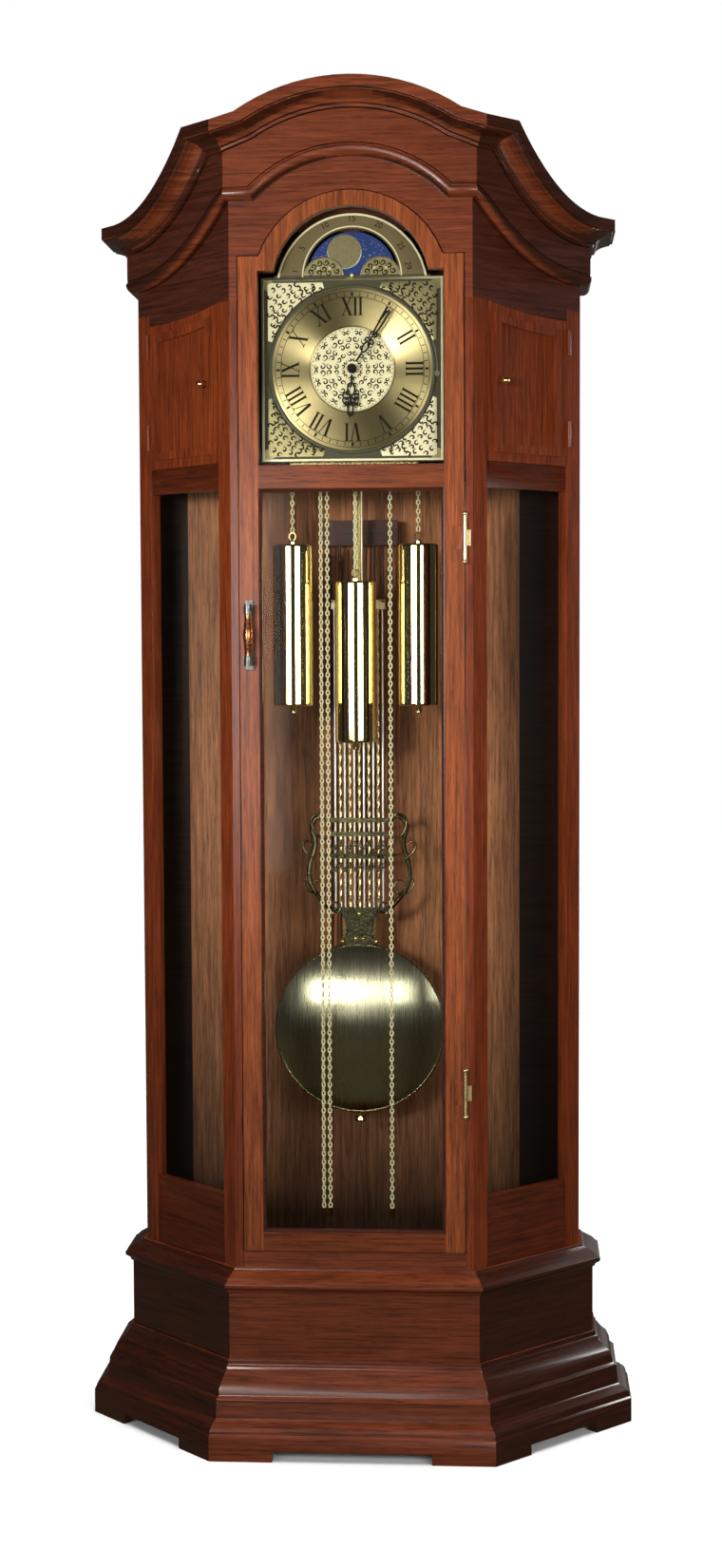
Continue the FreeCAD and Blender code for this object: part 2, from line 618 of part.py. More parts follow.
def side_panel(word, side):
    """Canted access door: flat board with a raised frame and field on its outer face."""
    start = size("post_run") / ROOT_HALF + 3 * side_gap
    stop = cant_long - size("post_run") / ROOT_HALF - side_gap
    low = size("mid_rail_top") + side_gap
    high = side_top - side_gap

    def layer(inset, near, far):
        """Board set in from the door's edges, between two offsets."""
        first, last = start + inset, stop - inset
        corners = [(first, low + inset), (last, low + inset)]
        for i in range(11):
            run = last + (first - last) * i / 10
            corners.append((run, fall_line(run) - side_gap - inset))
        return solid_through([[on_cant(side, run)(out, z) for run, z in corners] for out in (near, far)])

    panel = layer(0, 0, -16).fuse(layer(14, 4, 0)).cut(layer(27, 5, -1))
    obj = doc.addObject("Part::Feature", "side_door_" + word)
    obj.Shape = panel
    keep(place(obj), "side_door_" + word)
    hinge = stop + side_gap + 2.85
    barrel = None
    for height in (low + 30, high - 70):
        pin = Part.makeCylinder(3, 40, on_cant(side, hinge)(2, height), Vector(0, 0, 1))
        barrel = pin if barrel is None else barrel.fuse(pin)
    pins = doc.addObject("Part::Feature", "side_hinge_" + word)
    pins.Shape = barrel
    keep(place(pins), "side_hinge_" + word)
    run = start + 22
    spot = on_cant(side, run)(4, (low + high) / 2)
    knob = doc.addObject("Part::Feature", "side_knob_" + word)
    outward = Vector(side * ROOT_HALF, -ROOT_HALF, 0)
    stem = Part.makeCylinder(3, 8, spot, outward)
    ball = Part.makeSphere(6.5, spot + outward * 11)
    knob.Shape = stem.fuse(ball)
    keep(place(knob), "side_knob_" + word)


for word, side in SIDES:
    side_panel(word, side)

# Dial: plate with arch and moon opening, chapter ring, medallion, lunar band, studs
dial_top = "dial_mid + dial_half"
NEAR = "dial_back"
square = box("dial_square", "-dial_half", "dial_half", NEAR, "dial_back + dial_thick", "dial_mid - dial_half", dial_top)
arch_disc = rod("dial_arch_disc", "dial_radius", "dial_thick", "0", NEAR, dial_top + " - 21", True)
arch_part = common("dial_arch", arch_disc, box(
    "dial_arch_limit", "-dial_half", "dial_half", NEAR, "dial_back + dial_thick", dial_top + " - 2", dial_top + " + dial_half"))
sky = common("sky", rod("sky_disc", "sky_radius", "dial_thick", "0", NEAR, dial_top, True), box(
    "sky_limit", "-dial_half", "dial_half", NEAR, "dial_back + dial_thick", dial_top, dial_top + " + dial_half"))
humps = fuse("humps", [
    rod("hump_left", "hump_radius", "dial_thick", "-sky_radius + hump_radius - 1", NEAR, dial_top, True),
    rod("hump_right", "hump_radius", "dial_thick", "sky_radius - hump_radius + 1", NEAR, dial_top, True)])
window = cut("sky_window", sky, humps)
hand_bore = rod("dial_bore", "arbor_radius * 3", "dial_thick", "0", NEAR, "dial_mid", True)
holes = fuse("dial_holes", [window, hand_bore])
keep(cut("dial_plate", fuse("dial_blank", [square, arch_part]), holes), "dial_plate")


def flat_ring(label, outer, bore, near, thick, x, z):
    """Flat ring lying against the dial."""
    return turned(label, [(bore, "0"), (outer, "0"), (outer, thick), (bore, thick)], x, near, z, True)


flat_ring("chapter_ring", "ring_outer", "ring_inner", "dial_back - 1.4", "1.4", "0", "dial_mid")
flat_ring("dial_medallion", "ring_inner - 20", "arbor_radius * 3", "dial_back - 1", "1", "0", "dial_mid")
bow = cut("lunar_bow", rod("lunar_outer", "sky_radius + 20", "1", "0", "dial_back - 1", dial_top, True),
          rod("lunar_inner", "sky_radius + 1", "1", "0", "dial_back - 1", dial_top, True))
keep(common("lunar_band", bow, box("lunar_limit", "-dial_half", "dial_half", "dial_back - 1", "dial_back", dial_top,
                                   dial_top + " + dial_radius")), "lunar_band")
pads = []
for i, (across, up) in enumerate(((-1, -1), (1, -1), (-1, 1), (1, 1))):
    for j, (out, radius) in enumerate((("11", "9"), ("22", "6.5"))):
        pads.append(rod("spandrel_%d_%d" % (i, j), radius, "2", "%d * (dial_half - %s)" % (across, out), "dial_back - 2",
                        "dial_mid + %d * (dial_half - %s)" % (up, out), True))
scatter("dial_spandrels", pads)
studs = []
for i, (across, up) in enumerate(((-1, -1), (1, -1), (-1, 1), (1, 1))):
    studs.append(rod("stud_%d" % i, "3", "plate_front - dial_back - dial_thick", "%d * (plate_half - 10)" % across,
                     "dial_back + dial_thick", "dial_mid + %d * 78 - 6" % up, True))
scatter("dial_studs", studs)


def curved_bar(inner, outer, low, high, near, far):
    """Flat bar bent about the dial centre, between two angles above three o'clock."""
    def spot(reach, degrees):
        turn = math.radians(degrees)
        return Vector(reach * math.cos(turn), near, reach * math.sin(turn))
    middle = (low + high) / 2
    edges = [
        Part.Arc(spot(outer, low), spot(outer, middle), spot(outer, high)).toShape(),
        Part.LineSegment(spot(outer, high), spot(inner, high)).toShape(),
        Part.Arc(spot(inner, high), spot(inner, middle), spot(inner, low)).toShape(),
        Part.LineSegment(spot(inner, low), spot(outer, low)).toShape()]
    return Part.Face(Part.Wire(edges)).extrude(Vector(0, far - near, 0))


lever = doc.addObject("Part::Feature", "selector_lever")
lever.Shape = curved_bar(size("ring_outer") + 2.5, size("ring_outer") + 5.5, -4, 34, size("dial_back") - 2, size("dial_back"))
place(lever, "0", "0", "dial_mid")
knob = rod("selector_ball", "4", "3", "ring_outer + 5", "dial_back - 5", "dial_mid - 8", True)
keep(fuse("selector", [lever, knob]), "chime_selector")


# Hands at six minutes past six, cut from plate
def hand(label, outline_points, eyes, bore, near, thick, degrees):
    """Flat pierced hand turned clockwise from twelve about the dial centre."""
    turn = math.radians(degrees)

    def spot(across, up):
        return Vector(across * math.cos(turn) + up * math.sin(turn), near, up * math.cos(turn) - across * math.sin(turn))

    corners = [spot(across, up) for across, up in outline_points]
    blade = Part.Face(Part.makePolygon(corners + corners[:1])).extrude(Vector(0, thick, 0))
    for across, up, radius in eyes:
        blade = blade.cut(Part.makeCylinder(radius, thick, spot(across, up), Vector(0, 1, 0)))
    boss = Part.makeCylinder(bore + 5, thick, Vector(0, near, 0), Vector(0, 1, 0))
    shape = blade.fuse(boss).cut(Part.makeCylinder(bore, thick, Vector(0, near, 0), Vector(0, 1, 0)))
    obj = doc.addObject("Part::Feature", label)
    obj.Shape = shape.removeSplitter()
    keep(place(obj, "0", "0", "dial_mid"), label)


pipe = size("arbor_radius") + 2
fit = size("bore_gap")
reach_out = size("ring_outer")
hand("minute_hand", [(-2, 0), (-3, 30), (-8, 46), (-3, 62), (-2.2, 80), (0, reach_out - 4), (2.2, 80), (3, 62), (8, 46),
                     (3, 30), (2, 0)], [(0, 40, 1.6), (-3.2, 46, 2.2), (3.2, 46, 2.2), (0, 52, 1.6)],
     size("arbor_radius") + fit, size("dial_back") - 16, 1.4, 33.5)
hand("hour_hand", [(-2.5, 0), (-3, 20), (-12, 40), (-9, 52), (-2.5, 58), (0, 80), (2.5, 58), (9, 52), (12, 40), (3, 20),
                   (2.5, 0)], [(-5.5, 44, 3), (5.5, 44, 3), (0, 35, 2), (0, 50, 2)],
     pipe + fit, size("dial_back") - 10, 1.4, 182.8)

# Movement: plates, pillars, seat board, moon bracket
centre = Vector(0, 0, size("dial_mid"))
great = Vector(-size("sprocket_radius"), 0, size("sprocket_mid"))
escape = Vector(0, 0, size("escape_mid"))
swing = Vector(0, 0, size("swing_mid"))
mesh_gap = size("running_gap")


def meet(first, reach_one, second, reach_two, sign):
    """Point at two given distances from two centres."""
    line = second - first
    long = line.Length
    along = (reach_one ** 2 - reach_two ** 2 + long ** 2) / (2 * long)
    aside = math.sqrt(max(reach_one ** 2 - along ** 2, 0))
    line.normalize()
    return first + line * along + Vector(line.z, 0, -line.x) * aside * sign


great_pinion = size("great_radius") / size("great_ratio")
second_pinion = size("second_radius") / size("second_ratio")
third_pinion = size("centre_radius") / size("third_ratio")
escape_pinion = size("third_radius") / size("escape_ratio")
second = meet(great, size("great_radius") + great_pinion + mesh_gap, centre,
              size("second_radius") + second_pinion + mesh_gap, -1)
third = meet(centre, size("centre_radius") + third_pinion + mesh_gap, escape,
             size("third_radius") + escape_pinion + mesh_gap, 1)
arbor = size("arbor_radius")
plate_front = size("plate_front")
plate_rear = size("plate_rear")
thick = size("plate_thick")
motion_reach = 28 + mesh_gap
motion = centre + Vector(motion_reach, 0, 0)
side_left = Vector(size("sprocket_radius") - size("weight_pitch"), 0, size("sprocket_mid"))
side_right = Vector(size("weight_pitch") - size("sprocket_radius"), 0, size("sprocket_mid"))


def lying(radius, near, far, spot):
    """Round bar along the depth between two planes."""
    return Part.makeCylinder(radius, far - near, Vector(spot.x, near, spot.z), Vector(0, 1, 0))


def toothed(radius, count, near, far, spot):
    """Toothed disc: one tapered tooth repeated round the rim, cut inward from the tip circle."""
    root = radius - 3.8 * radius / (count + 2)
    corners = []
    for i in range(count):
        for share, reach in ((0.14, radius), (0.36, radius), (0.58, root), (0.92, root)):
            turn = 2 * math.pi * (i + share) / count
            corners.append(Vector(spot.x + reach * math.cos(turn), near, spot.z + reach * math.sin(turn)))
    return Part.Face(Part.makePolygon(corners + corners[:1])).extrude(Vector(0, far - near, 0))


def wheel(label, spot, parts, bore=0):
    """Wheel work on one arbor: bars of radius, near, far and teeth; wide discs are crossed out."""
    shape = None
    for radius, near, far, count in parts:
        piece = toothed(radius, count, near, far, spot) if count else lying(radius, near, far, spot)
        if radius > 20:
            for i in range(5):
                turn = 2 * math.pi * i / 5
                eye = spot + Vector(math.cos(turn), 0, math.sin(turn)) * (0.58 * radius)
                piece = piece.cut(lying(0.22 * radius, near, far, eye))
        shape = piece if shape is None else shape.fuse(piece)
    if bore:
        shape = shape.cut(lying(bore, min(p[1] for p in parts), max(p[2] for p in parts), spot))
    obj = doc.addObject("Part::Feature", label)
    obj.Shape = shape.removeSplitter()
    return keep(place(obj), label)


def plate(label, near, spots):
    """Movement plate bored for its arbors."""
    shape = Part.makeBox(2 * size("plate_half"), thick, size("plate_top") - size("seat_top"),
                         Vector(-size("plate_half"), near, size("seat_top")))
    for spot in spots:
        shape = shape.cut(lying(arbor + fit, near, near + thick, spot))
    obj = doc.addObject("Part::Feature", label)
    obj.Shape = shape
    return keep(place(obj), label)


spots = [centre, great, second, third, escape, swing, side_left, side_right]
plate("front_plate", plate_front, spots + [motion])
plate("rear_plate", plate_rear, spots)
pillars = []
for i, (across, up) in enumerate(((-1, "seat_top + 14"), (1, "seat_top + 14"), (-1, "plate_top - 12"), (1, "plate_top - 12"))):
    pillars.append(rod("pillar_%d" % i, "5", "plate_rear - plate_front - plate_thick", "%d * (plate_half - 9)" % across,
                       "plate_front + plate_thick", up, True))
scatter("pillars", pillars)
seat_near = "plate_front - 12"
seat_far = "plate_rear + plate_thick + 12"
inner_face = "rail_recess + rail_thick"
lap = "front_half - 1.41421356 * (%s)" % inner_face
seat = doc.addObject("PartDesign::Body", "seat_blank")
seat_sketch = outline(seat, "XY_Plane", [
    ("-1 * (%s + %s)" % (lap, seat_near), seat_near), ("%s + %s" % (lap, seat_near), seat_near),
    ("%s + %s" % (lap, seat_far), seat_far), ("-1 * (%s + %s)" % (lap, seat_far), seat_far)])
seat_pad = seat.newObject("PartDesign::Pad", "seat_pad")
seat_pad.Profile = seat_sketch
seat_pad.setExpression("Length", term("seat_thick"))
seat.Tip = seat_pad
place(seat, "0", "0", "seat_top - seat_thick")
slots = fuse("seat_slots", [
    box("seat_slot_left", "-weight_pitch - 9", "9", "chain_plane - 9", "chain_plane + 9", "seat_top - seat_thick", "seat_top"),
    box("seat_slot_right", "weight_pitch - 2 * sprocket_radius - 9", "weight_pitch + 9", "chain_plane - 9", "chain_plane + 9",
        "seat_top - seat_thick", "seat_top")])
keep(cut("seat_board", seat, slots), "seat_board")
moon_mid = "dial_mid + dial_half"
moon_axis = Vector(0, 0, size("dial_mid") + size("dial_half"))
wide = size("bracket_wide")
bracket_low = size("plate_top") - wide
bracket = Part.makeBox(wide, thick, moon_axis.z + wide / 2 + 1 - bracket_low,
                       Vector(-wide / 2, plate_front - thick, bracket_low))
bracket = bracket.cut(lying(arbor + fit, plate_front - thick, plate_front, moon_axis))
moon_bracket = doc.addObject("Part::Feature", "moon_bracket")
moon_bracket.Shape = bracket
keep(place(moon_bracket), "moon_bracket")

# Going train, motion work and moon disc
rear_end = plate_rear + thick
leaves = round(size("leaves"))


def geared(name):
    """Teeth of the wheel that drives a pinion at a named ratio."""
    return round(leaves * size(name))


wheel("centre_wheel", centre, [
    (arbor, size("dial_back") - 18, rear_end, 0), (size("centre_radius"), 62, 65, geared("third_ratio")),
    (second_pinion, 69, 74, leaves), (7, 50, 53, leaves)])
wheel("great_wheel", great, [
    (arbor, plate_front, rear_end, 0), (size("great_radius"), 100, 103, geared("great_ratio"))])
wheel("second_wheel", second, [
    (arbor, plate_front, rear_end, 0), (size("second_radius"), 70, 73, geared("second_ratio")),
    (great_pinion, 99, 104, leaves)])
wheel("third_wheel", third, [
    (arbor, plate_front, rear_end, 0), (third_pinion, 61, 66, leaves),
    (size("third_radius"), 106, 109, geared("escape_ratio"))])
wheel("minute_wheel", motion, [(arbor, 42, plate_front + thick, 0), (21, 50, 53, 3 * leaves), (5.6, 44, 47, leaves)])
wheel("hour_wheel", centre, [(pipe, size("dial_back") - 12, 48, 0), (22.4, 44, 47, 4 * leaves)], arbor + fit)
wheel("moon_disc", moon_axis, [(arbor, 41, plate_front, 0), (8, 41, 43, 0)])
moon_face = doc.addObject("Part::Feature", "moon_face")
moon_face.Shape = lying(size("moon_radius"), 40.6, 41, moon_axis)
keep(place(moon_face), "moon_face")
teeth = []
for i in range(30):
    turn = 2 * math.pi * i / 30
    ahead = turn + 0.09
    tip = size("escape_radius")
    root = 0.82 * tip
    teeth.append(Vector(tip * math.sin(turn), 95, tip * math.cos(turn)))
    teeth.append(Vector(root * math.sin(ahead), 95, root * math.cos(ahead)))
rim = Part.Face(Part.makePolygon(teeth + teeth[:1])).extrude(Vector(0, 3, 0))
rim.translate(escape)
escape_shape = rim.fuse(lying(arbor, plate_front, rear_end, escape))
escape_shape = escape_shape.fuse(toothed(escape_pinion, leaves, 105, 110, escape))
escape_wheel = doc.addObject("Part::Feature", "escape_wheel")
escape_wheel.Shape = escape_shape
keep(place(escape_wheel), "escape_wheel")

# Anchor, crutch and suspension
arm = size("swing_mid") - size("escape_mid")
anchor_shape = lying(arbor, plate_front, size("swing_plane") - 14, swing)
limb = [(-24, -arm * 0.55), (-20, -arm * 0.62), (-12, -6), (0, -3), (12, -6), (20, -arm * 0.62), (24, -arm * 0.55), (14, 2), (0, 5), (-14, 2)]
corners = [Vector(a, 95, swing.z + u) for a, u in limb]
anchor_shape = anchor_shape.fuse(Part.Face(Part.makePolygon(corners + corners[:1])).extrude(Vector(0, 3, 0)))
crutch_near = size("swing_plane") - 18
anchor_shape = anchor_shape.fuse(Part.makeBox(6, 3, 96, Vector(-3, crutch_near, swing.z - 92)))
for across in (-8.5, 5.5):
    anchor_shape = anchor_shape.fuse(Part.makeBox(3, 20, 4, Vector(across, crutch_near, swing.z - 92)))
anchor_shape = anchor_shape.fuse(Part.makeBox(17, 3, 4, Vector(-8.5, crutch_near, swing.z - 92)))
anchor = doc.addObject("Part::Feature", "anchor_crutch")
anchor.Shape = anchor_shape.removeSplitter()
keep(place(anchor), "anchor_crutch")
cock = fuse("suspension_cock", [
    box("cock_foot", "-14", "14", "plate_rear + plate_thick", "plate_rear + plate_thick + 3", "swing_mid + 12", "swing_mid + 34"),
    box("cock_arm", "-5", "5", "plate_rear + plate_thick", "swing_plane + 6", "swing_mid + 18", "swing_mid + 26")])
keep(cock, "suspension_cock")

# Pendulum: spring and leader, gridiron, lyre, bob, rating nut
leader = fuse("pendulum_leader", [
    box("spring_strip", "-5", "5", "swing_plane - 0.5", "swing_plane + 0.5", "swing_mid - 30",
        "swing_mid + 18 - running_gap"),
    box("leader_strip", "-4", "4", "swing_plane - 1.5", "swing_plane + 1.5", "grid_top + 20", "swing_mid - 28"),
    rod("leader_stud", "4", "14", "0", "swing_plane", "grid_top + 8")])
keep(leader, "pendulum_leader")
plain = []
twisted = []
for i in range(11):
    x = "grid_half * %r" % ((i - 5) / 5)
    piece = rod("grid_rod_%d" % i, "rod_radius", "grid_top - 6 - grid_low", x, "swing_plane", "grid_low")
    (plain if i % 2 == 0 else twisted).append(piece)
scatter("grid_rods_plain", plain)
scatter("grid_rods_twisted", twisted)
keep(box("grid_top_bar", "-grid_half - 5", "grid_half + 5", "swing_plane - 5", "swing_plane + 5", "grid_top - 6", "grid_top + 8"),
     "grid_top_bar")
keep(box("grid_low_bar", "-grid_half - 4", "grid_half + 4", "swing_plane - 5", "swing_plane + 5", "grid_low - 10", "grid_low"),
     "grid_low_bar")
bars = []
for i, share in enumerate((0.283, 0.237, 0.162)):
    low = "grid_low + %r * grid_high" % share
    bars.append(box("cross_bar_%d" % i, "-grid_half - 10", "grid_half + 10", "swing_plane - rod_radius - 4",
                    "swing_plane - rod_radius - 0.2", low, low + " + 7"))
scatter("grid_cross_bars", bars)
keep(box("bob_neck", "-26", "26", "swing_plane - 3", "swing_plane + 3", "bob_mid + bob_radius + 0.3", "grid_low - 10"), "bob_neck")
swing_plane = size("swing_plane")


def bent_bar(points, radius, steps, sides):
    """Round bar bent along a smooth curve in the swing plane, faceted around and along."""
    curve = Part.BSplineCurve()
    curve.interpolate([Vector(a, swing_plane, z) for a, z in points])
    first = curve.FirstParameter
    last = curve.LastParameter
    rings = []
    for i in range(steps + 1):
        here = first + (last - first) * i / steps
        middle = curve.value(here)
        lead = curve.tangent(here)[0]
        aside = Vector(lead.z, 0, -lead.x)
        ring = []
        for j in range(sides):
            turn = 2 * math.pi * (j + 0.5) / sides
            ring.append(middle + aside * radius * math.cos(turn) + Vector(0, radius * math.sin(turn), 0))
        rings.append(ring)
    return solid_through(rings)


# Half of the lyre, as shares of its half width and of its height above the low bar
LYRE = ((0.59, 0.92), (0.78, 1.0), (0.95, 0.89), (0.88, 0.74), (0.97, 0.51), (1.0, 0.31), (0.80, 0.10), (0.50, -0.06))
scrolls = []
for side in (-1, 1):
    bends = []
    for across, up in LYRE:
        bends.append((side * across * size("lyre_half"), size("grid_low") + up * size("lyre_high")))
    scrolls.append(bent_bar(bends, size("lyre_radius"), 20, 8))
lyre = doc.addObject("Part::Feature", "lyre_scrolls")
lyre.Shape = Part.makeCompound(scrolls)
keep(place(lyre), "lyre_scrolls")
dome = []
for i in range(9):
    dome.append(("%r * (bob_radius - 6)" % (i / 8), "%r * bob_dome" % ((i / 8) ** 2)))
lip = [("bob_radius - 3", "bob_dome"), ("bob_radius", "bob_dome + 0.3 * bob_rim"),
       ("bob_radius", "bob_dome + 0.7 * bob_rim"), ("bob_radius - 3", "bob_dome + bob_rim"), ("0", "bob_dome + bob_rim")]
turned("bob", dome + lip, "0", "swing_plane - bob_dome - bob_rim / 2", "bob_mid", True)
keep(rod("bob_screw", "2.5", "24", "0", "swing_plane", "bob_mid - bob_radius - 24.3"), "bob_screw")
turned("rating_nut", [("2.55", "0"), ("9", "0"), ("10", "3"), ("9", "7"), ("2.55", "7")], "0", "swing_plane",
       "bob_mid - bob_radius - 14")

# Weights, sprockets and chains
drum = size("sprocket_radius") - size("chain_radius") - 0.3
CHAINS = (("left", "-weight_pitch", "-weight_pitch + 2 * sprocket_radius", "side_weight_top", side_left),
          ("middle", "0", "-2 * sprocket_radius", "middle_weight_top", great),
          ("right", "weight_pitch", "weight_pitch - 2 * sprocket_radius", "side_weight_top", side_right))
for word, weight_x, free_x, top, spot in CHAINS:
    turned("weight_" + word, [
        ("0", "-weight_long - 12"), ("4", "-weight_long - 12"), ("6", "-weight_long - 5"), ("6", "-weight_long"),
        ("weight_radius - 4", "-weight_long"), ("weight_radius", "4 - weight_long"), ("weight_radius", "-4"),
        ("weight_radius - 4", "0"), ("6", "0"), ("6", "5"), ("3", "8"), ("3", "20"), ("0", "20")],
        weight_x, "chain_plane", top)
    keep(rod("chain_weight_" + word, "chain_radius", "sprocket_mid - (%s) - 20" % top, weight_x, "chain_plane", top + " + 20"),
         "chain_weight_" + word)
    keep(rod("chain_free_" + word, "chain_radius", "sprocket_mid - free_end", free_x, "chain_plane", "free_end"), "chain_free_" + word)
    if word == "middle":
        wheel("sprocket_" + word, spot, [(drum, 80, 90, 0), (12, 90, 97, 2 * leaves)], arbor + fit)
    else:
        wheel("sprocket_" + word, spot, [(drum, 80, 90, 0), (12, 90, 97, 2 * leaves), (arbor, plate_front, rear_end, 0)])
    turned("free_ring_" + word, [("0", "-14"), ("4", "-14"), ("4", "0"), ("0", "0")], free_x, "chain_plane", "free_end")

# Chime block and rods behind the pendulum
block_near = "back_depth - back_board - chime_block"
keep(box("chime_block", "-chime_half", "chime_half", block_near, "back_depth - back_board", "chime_low",
         "chime_low + chime_block"), "chime_block")
rods = []
for i in range(8):
    long = "chime_long - %d * chime_step" % i
    rods.append(rod("chime_rod_%d" % i, "arbor_radius", long, "chime_half * %r" % ((i - 3.5) / 4.3),
                    block_near + " + 0.4 * chime_block", "chime_low - (%s)" % long))
scatter("chime_rods", rods)


# Glued or riveted assemblies that are handled as one piece
def join(label, members):
    """Fuse pieces already made into one assembly."""
    pieces = [obj for obj in nodes if obj.Label in members]
    if len(pieces) != len(members):
        raise RuntimeError("%s lacks a member" % label)
    for piece in pieces:
        nodes.remove(piece)
    keep(fuse(label, pieces), label)


RUNS = ("front", "left", "right")
for name in ("base_panel", "plinth_moulding", "cornice", "astragal"):
    join(name + "s", [name + "_" + run for run in RUNS])
feet = ["foot_%s_%s" % (end, word) for end in ("front", "rear") for word, side in SIDES]
join("skirt_and_feet", ["skirt_" + run for run in RUNS] + feet)
join("base_top", ["base_cap_" + run for run in RUNS] + ["base_top_board"])
for word, side in SIDES:
    join("side_frame_" + word, [name + word for name in (
        "front_post_", "rear_post_", "end_board_", "low_rail_", "mid_rail_", "side_hinge_")])
    join("access_door_" + word, ["side_door_" + word, "side_knob_" + word])
    join("frieze_" + word, ["frieze_board_" + word, "frieze_face_" + word, "frieze_end_" + word])
join("hood_header", ["hood_board", "frieze_face"])
join("dust_board", ["dust_sheet", "dust_riser"])
join("side_glasses", ["side_glass_left", "side_glass_right"])
join("door_frame", ["door_stile_left", "door_stile_right", "door_rail_low", "door_rail_mid", "door_head", "hinge_leaves"])
join("door_glasses", ["door_glass_low", "door_glass_high"])
join("door_handle", ["handle_ends", "handle_grip"])
join("dial_trim", ["dial_medallion", "lunar_band", "dial_spandrels"])
join("movement_frame", ["front_plate", "rear_plate", "pillars", "dial_studs", "moon_bracket", "suspension_cock"])
join("moon_dial", ["moon_disc", "moon_face"])
join("pendulum_rod", ["pendulum_leader", "bob_neck", "bob_screw"])
join("grid_rods", ["grid_rods_plain", "grid_rods_twisted"])
join("grid_bars", ["grid_top_bar", "grid_low_bar", "grid_cross_bars", "lyre_scrolls"])
join("chimes", ["chime_block", "chime_rods"])

# Write every piece after checking it
doc.recompute()
os.makedirs("parts", exist_ok=True)
for obj in doc.Objects:
    if "Invalid" in obj.State or "Error" in obj.State:
        raise RuntimeError("%s is %s" % (obj.Label, obj.State))
for obj in nodes:
    if obj.Shape.isNull() or not obj.Shape.isValid():
        raise RuntimeError("%s has no valid shape" % obj.Label)
    obj.Shape.exportStep("parts/%s.step" % obj.Label)
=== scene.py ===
import math

import bmesh
import bpy
import numpy as np
from mathutils import Matrix, Vector


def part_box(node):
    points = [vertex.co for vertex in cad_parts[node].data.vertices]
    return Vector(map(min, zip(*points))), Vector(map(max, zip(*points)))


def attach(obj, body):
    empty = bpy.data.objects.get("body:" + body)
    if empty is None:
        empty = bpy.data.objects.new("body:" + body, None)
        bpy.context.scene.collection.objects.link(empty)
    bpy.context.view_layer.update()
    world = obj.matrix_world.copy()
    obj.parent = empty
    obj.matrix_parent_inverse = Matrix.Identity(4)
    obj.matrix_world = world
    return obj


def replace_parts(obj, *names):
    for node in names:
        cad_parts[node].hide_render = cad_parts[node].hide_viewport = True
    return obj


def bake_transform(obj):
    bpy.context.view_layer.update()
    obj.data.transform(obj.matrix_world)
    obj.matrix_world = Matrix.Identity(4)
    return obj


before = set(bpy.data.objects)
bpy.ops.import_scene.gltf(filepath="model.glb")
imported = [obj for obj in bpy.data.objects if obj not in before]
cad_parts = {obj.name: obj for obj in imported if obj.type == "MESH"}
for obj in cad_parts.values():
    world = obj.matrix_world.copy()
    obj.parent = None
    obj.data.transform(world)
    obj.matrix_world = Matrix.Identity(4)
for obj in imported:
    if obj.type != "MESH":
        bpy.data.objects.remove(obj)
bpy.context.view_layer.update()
TAU = 2 * math.pi
MM = 0.001
SIDES = (("left", -1), ("right", 1))
STRANDS = ("left", "middle", "right")
CORNERS = np.array([[-1, -1], [1, -1], [1, 1], [-1, 1]])


# Places read from the frame
def low(node):
    """Lowest corner of a node."""
    return np.array(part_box(node)[0])


def high(node):
    """Highest corner of a node."""
    return np.array(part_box(node)[1])


def middle(node):
    """Centre of a node's box."""
    return (low(node) + high(node)) / 2


def half_width(node):
    """Half of a node's reach from left to right."""
    return (high(node)[0] - low(node)[0]) / 2


FRONT = low("sill_rail")[1]
DIAL = middle("chapter_ring")
RING = half_width("chapter_ring")


# Arrays of points and faces
def mm(*numbers):
    """Array of lengths given in millimetres."""
    return np.array(numbers, float) * MM


def around(count):
    """Angles of a full turn in equal steps."""
    return np.linspace(0, TAU, count, endpoint=False)


def points_at(*coordinates):
    """Points from arrays of their coordinates, a single number held for every point."""
    return np.stack(np.broadcast_arrays(*coordinates), -1)


def polar(radius, angle):
    """Flat points at a radius and at an angle from the right."""
    return points_at(radius * np.cos(angle), radius * np.sin(angle))


def clockwise(across, out, turn):
    """Flat points set across and out from the dial's centre and turned clockwise from its top."""
    c, s = np.cos(turn), np.sin(turn)
    return points_at(across * c + out * s, out * c - across * s)


def on_dial(paths, depth, centre):
    """Flat paths set upright at a depth."""
    return points_at(centre[0] + paths[..., 0], depth, centre[2] + paths[..., 1])


def quads(rows, cols, wrap_rows=False, wrap_cols=False):
    """Faces of a grid of points: each square joins a point to the next in its row and column."""
    r = np.arange(rows if wrap_rows else rows - 1)[:, None]
    c = np.arange(cols if wrap_cols else cols - 1)[None, :]
    r1 = (r + 1) % rows
    c1 = (c + 1) % cols
    corners = (r * cols + c, r * cols + c1, r1 * cols + c1, r1 * cols + c)
    return np.stack([np.broadcast_to(k, (r.shape[0], c.shape[1])) for k in corners], -1).reshape(-1, 4)


def repeated(faces, copies, points):
    """Faces of one shape counted on for each copy of its points."""
    return (faces[None] + (np.arange(copies) * points)[:, None, None]).reshape(-1, 4)


def places(mesh):
    """Points of a mesh, one row each."""
    place = np.empty(3 * len(mesh.vertices))
    mesh.vertices.foreach_get("co", place)
    return place.reshape(-1, 3)


# Arrays to meshes
def placed(name, data):
    """Object put in the scene."""
    obj = bpy.data.objects.new(name, data)
    bpy.context.scene.collection.objects.link(obj)
    return obj


def welded(source, mesh, gap):
    """Mesh filled from a source, its points closer than a gap made one."""
    work = bmesh.new()
    work.from_mesh(source)
    bmesh.ops.remove_doubles(work, verts=work.verts, dist=gap)
    work.to_mesh(mesh)
    work.free()


def piece(name, points, faces, finish, body, slot, smooth=30, bevel=0.0):
    """Mesh object from arrays of points and faces, points in one place welded, riding on a body."""
    mesh = bpy.data.meshes.new(name)
    mesh.from_pydata(np.asarray(points, float).reshape(-1, 3).tolist(), [], [list(f) for f in faces])
    welded(mesh, mesh, 1e-7)
    return finished(name, mesh, finish, body, slot, smooth, bevel)


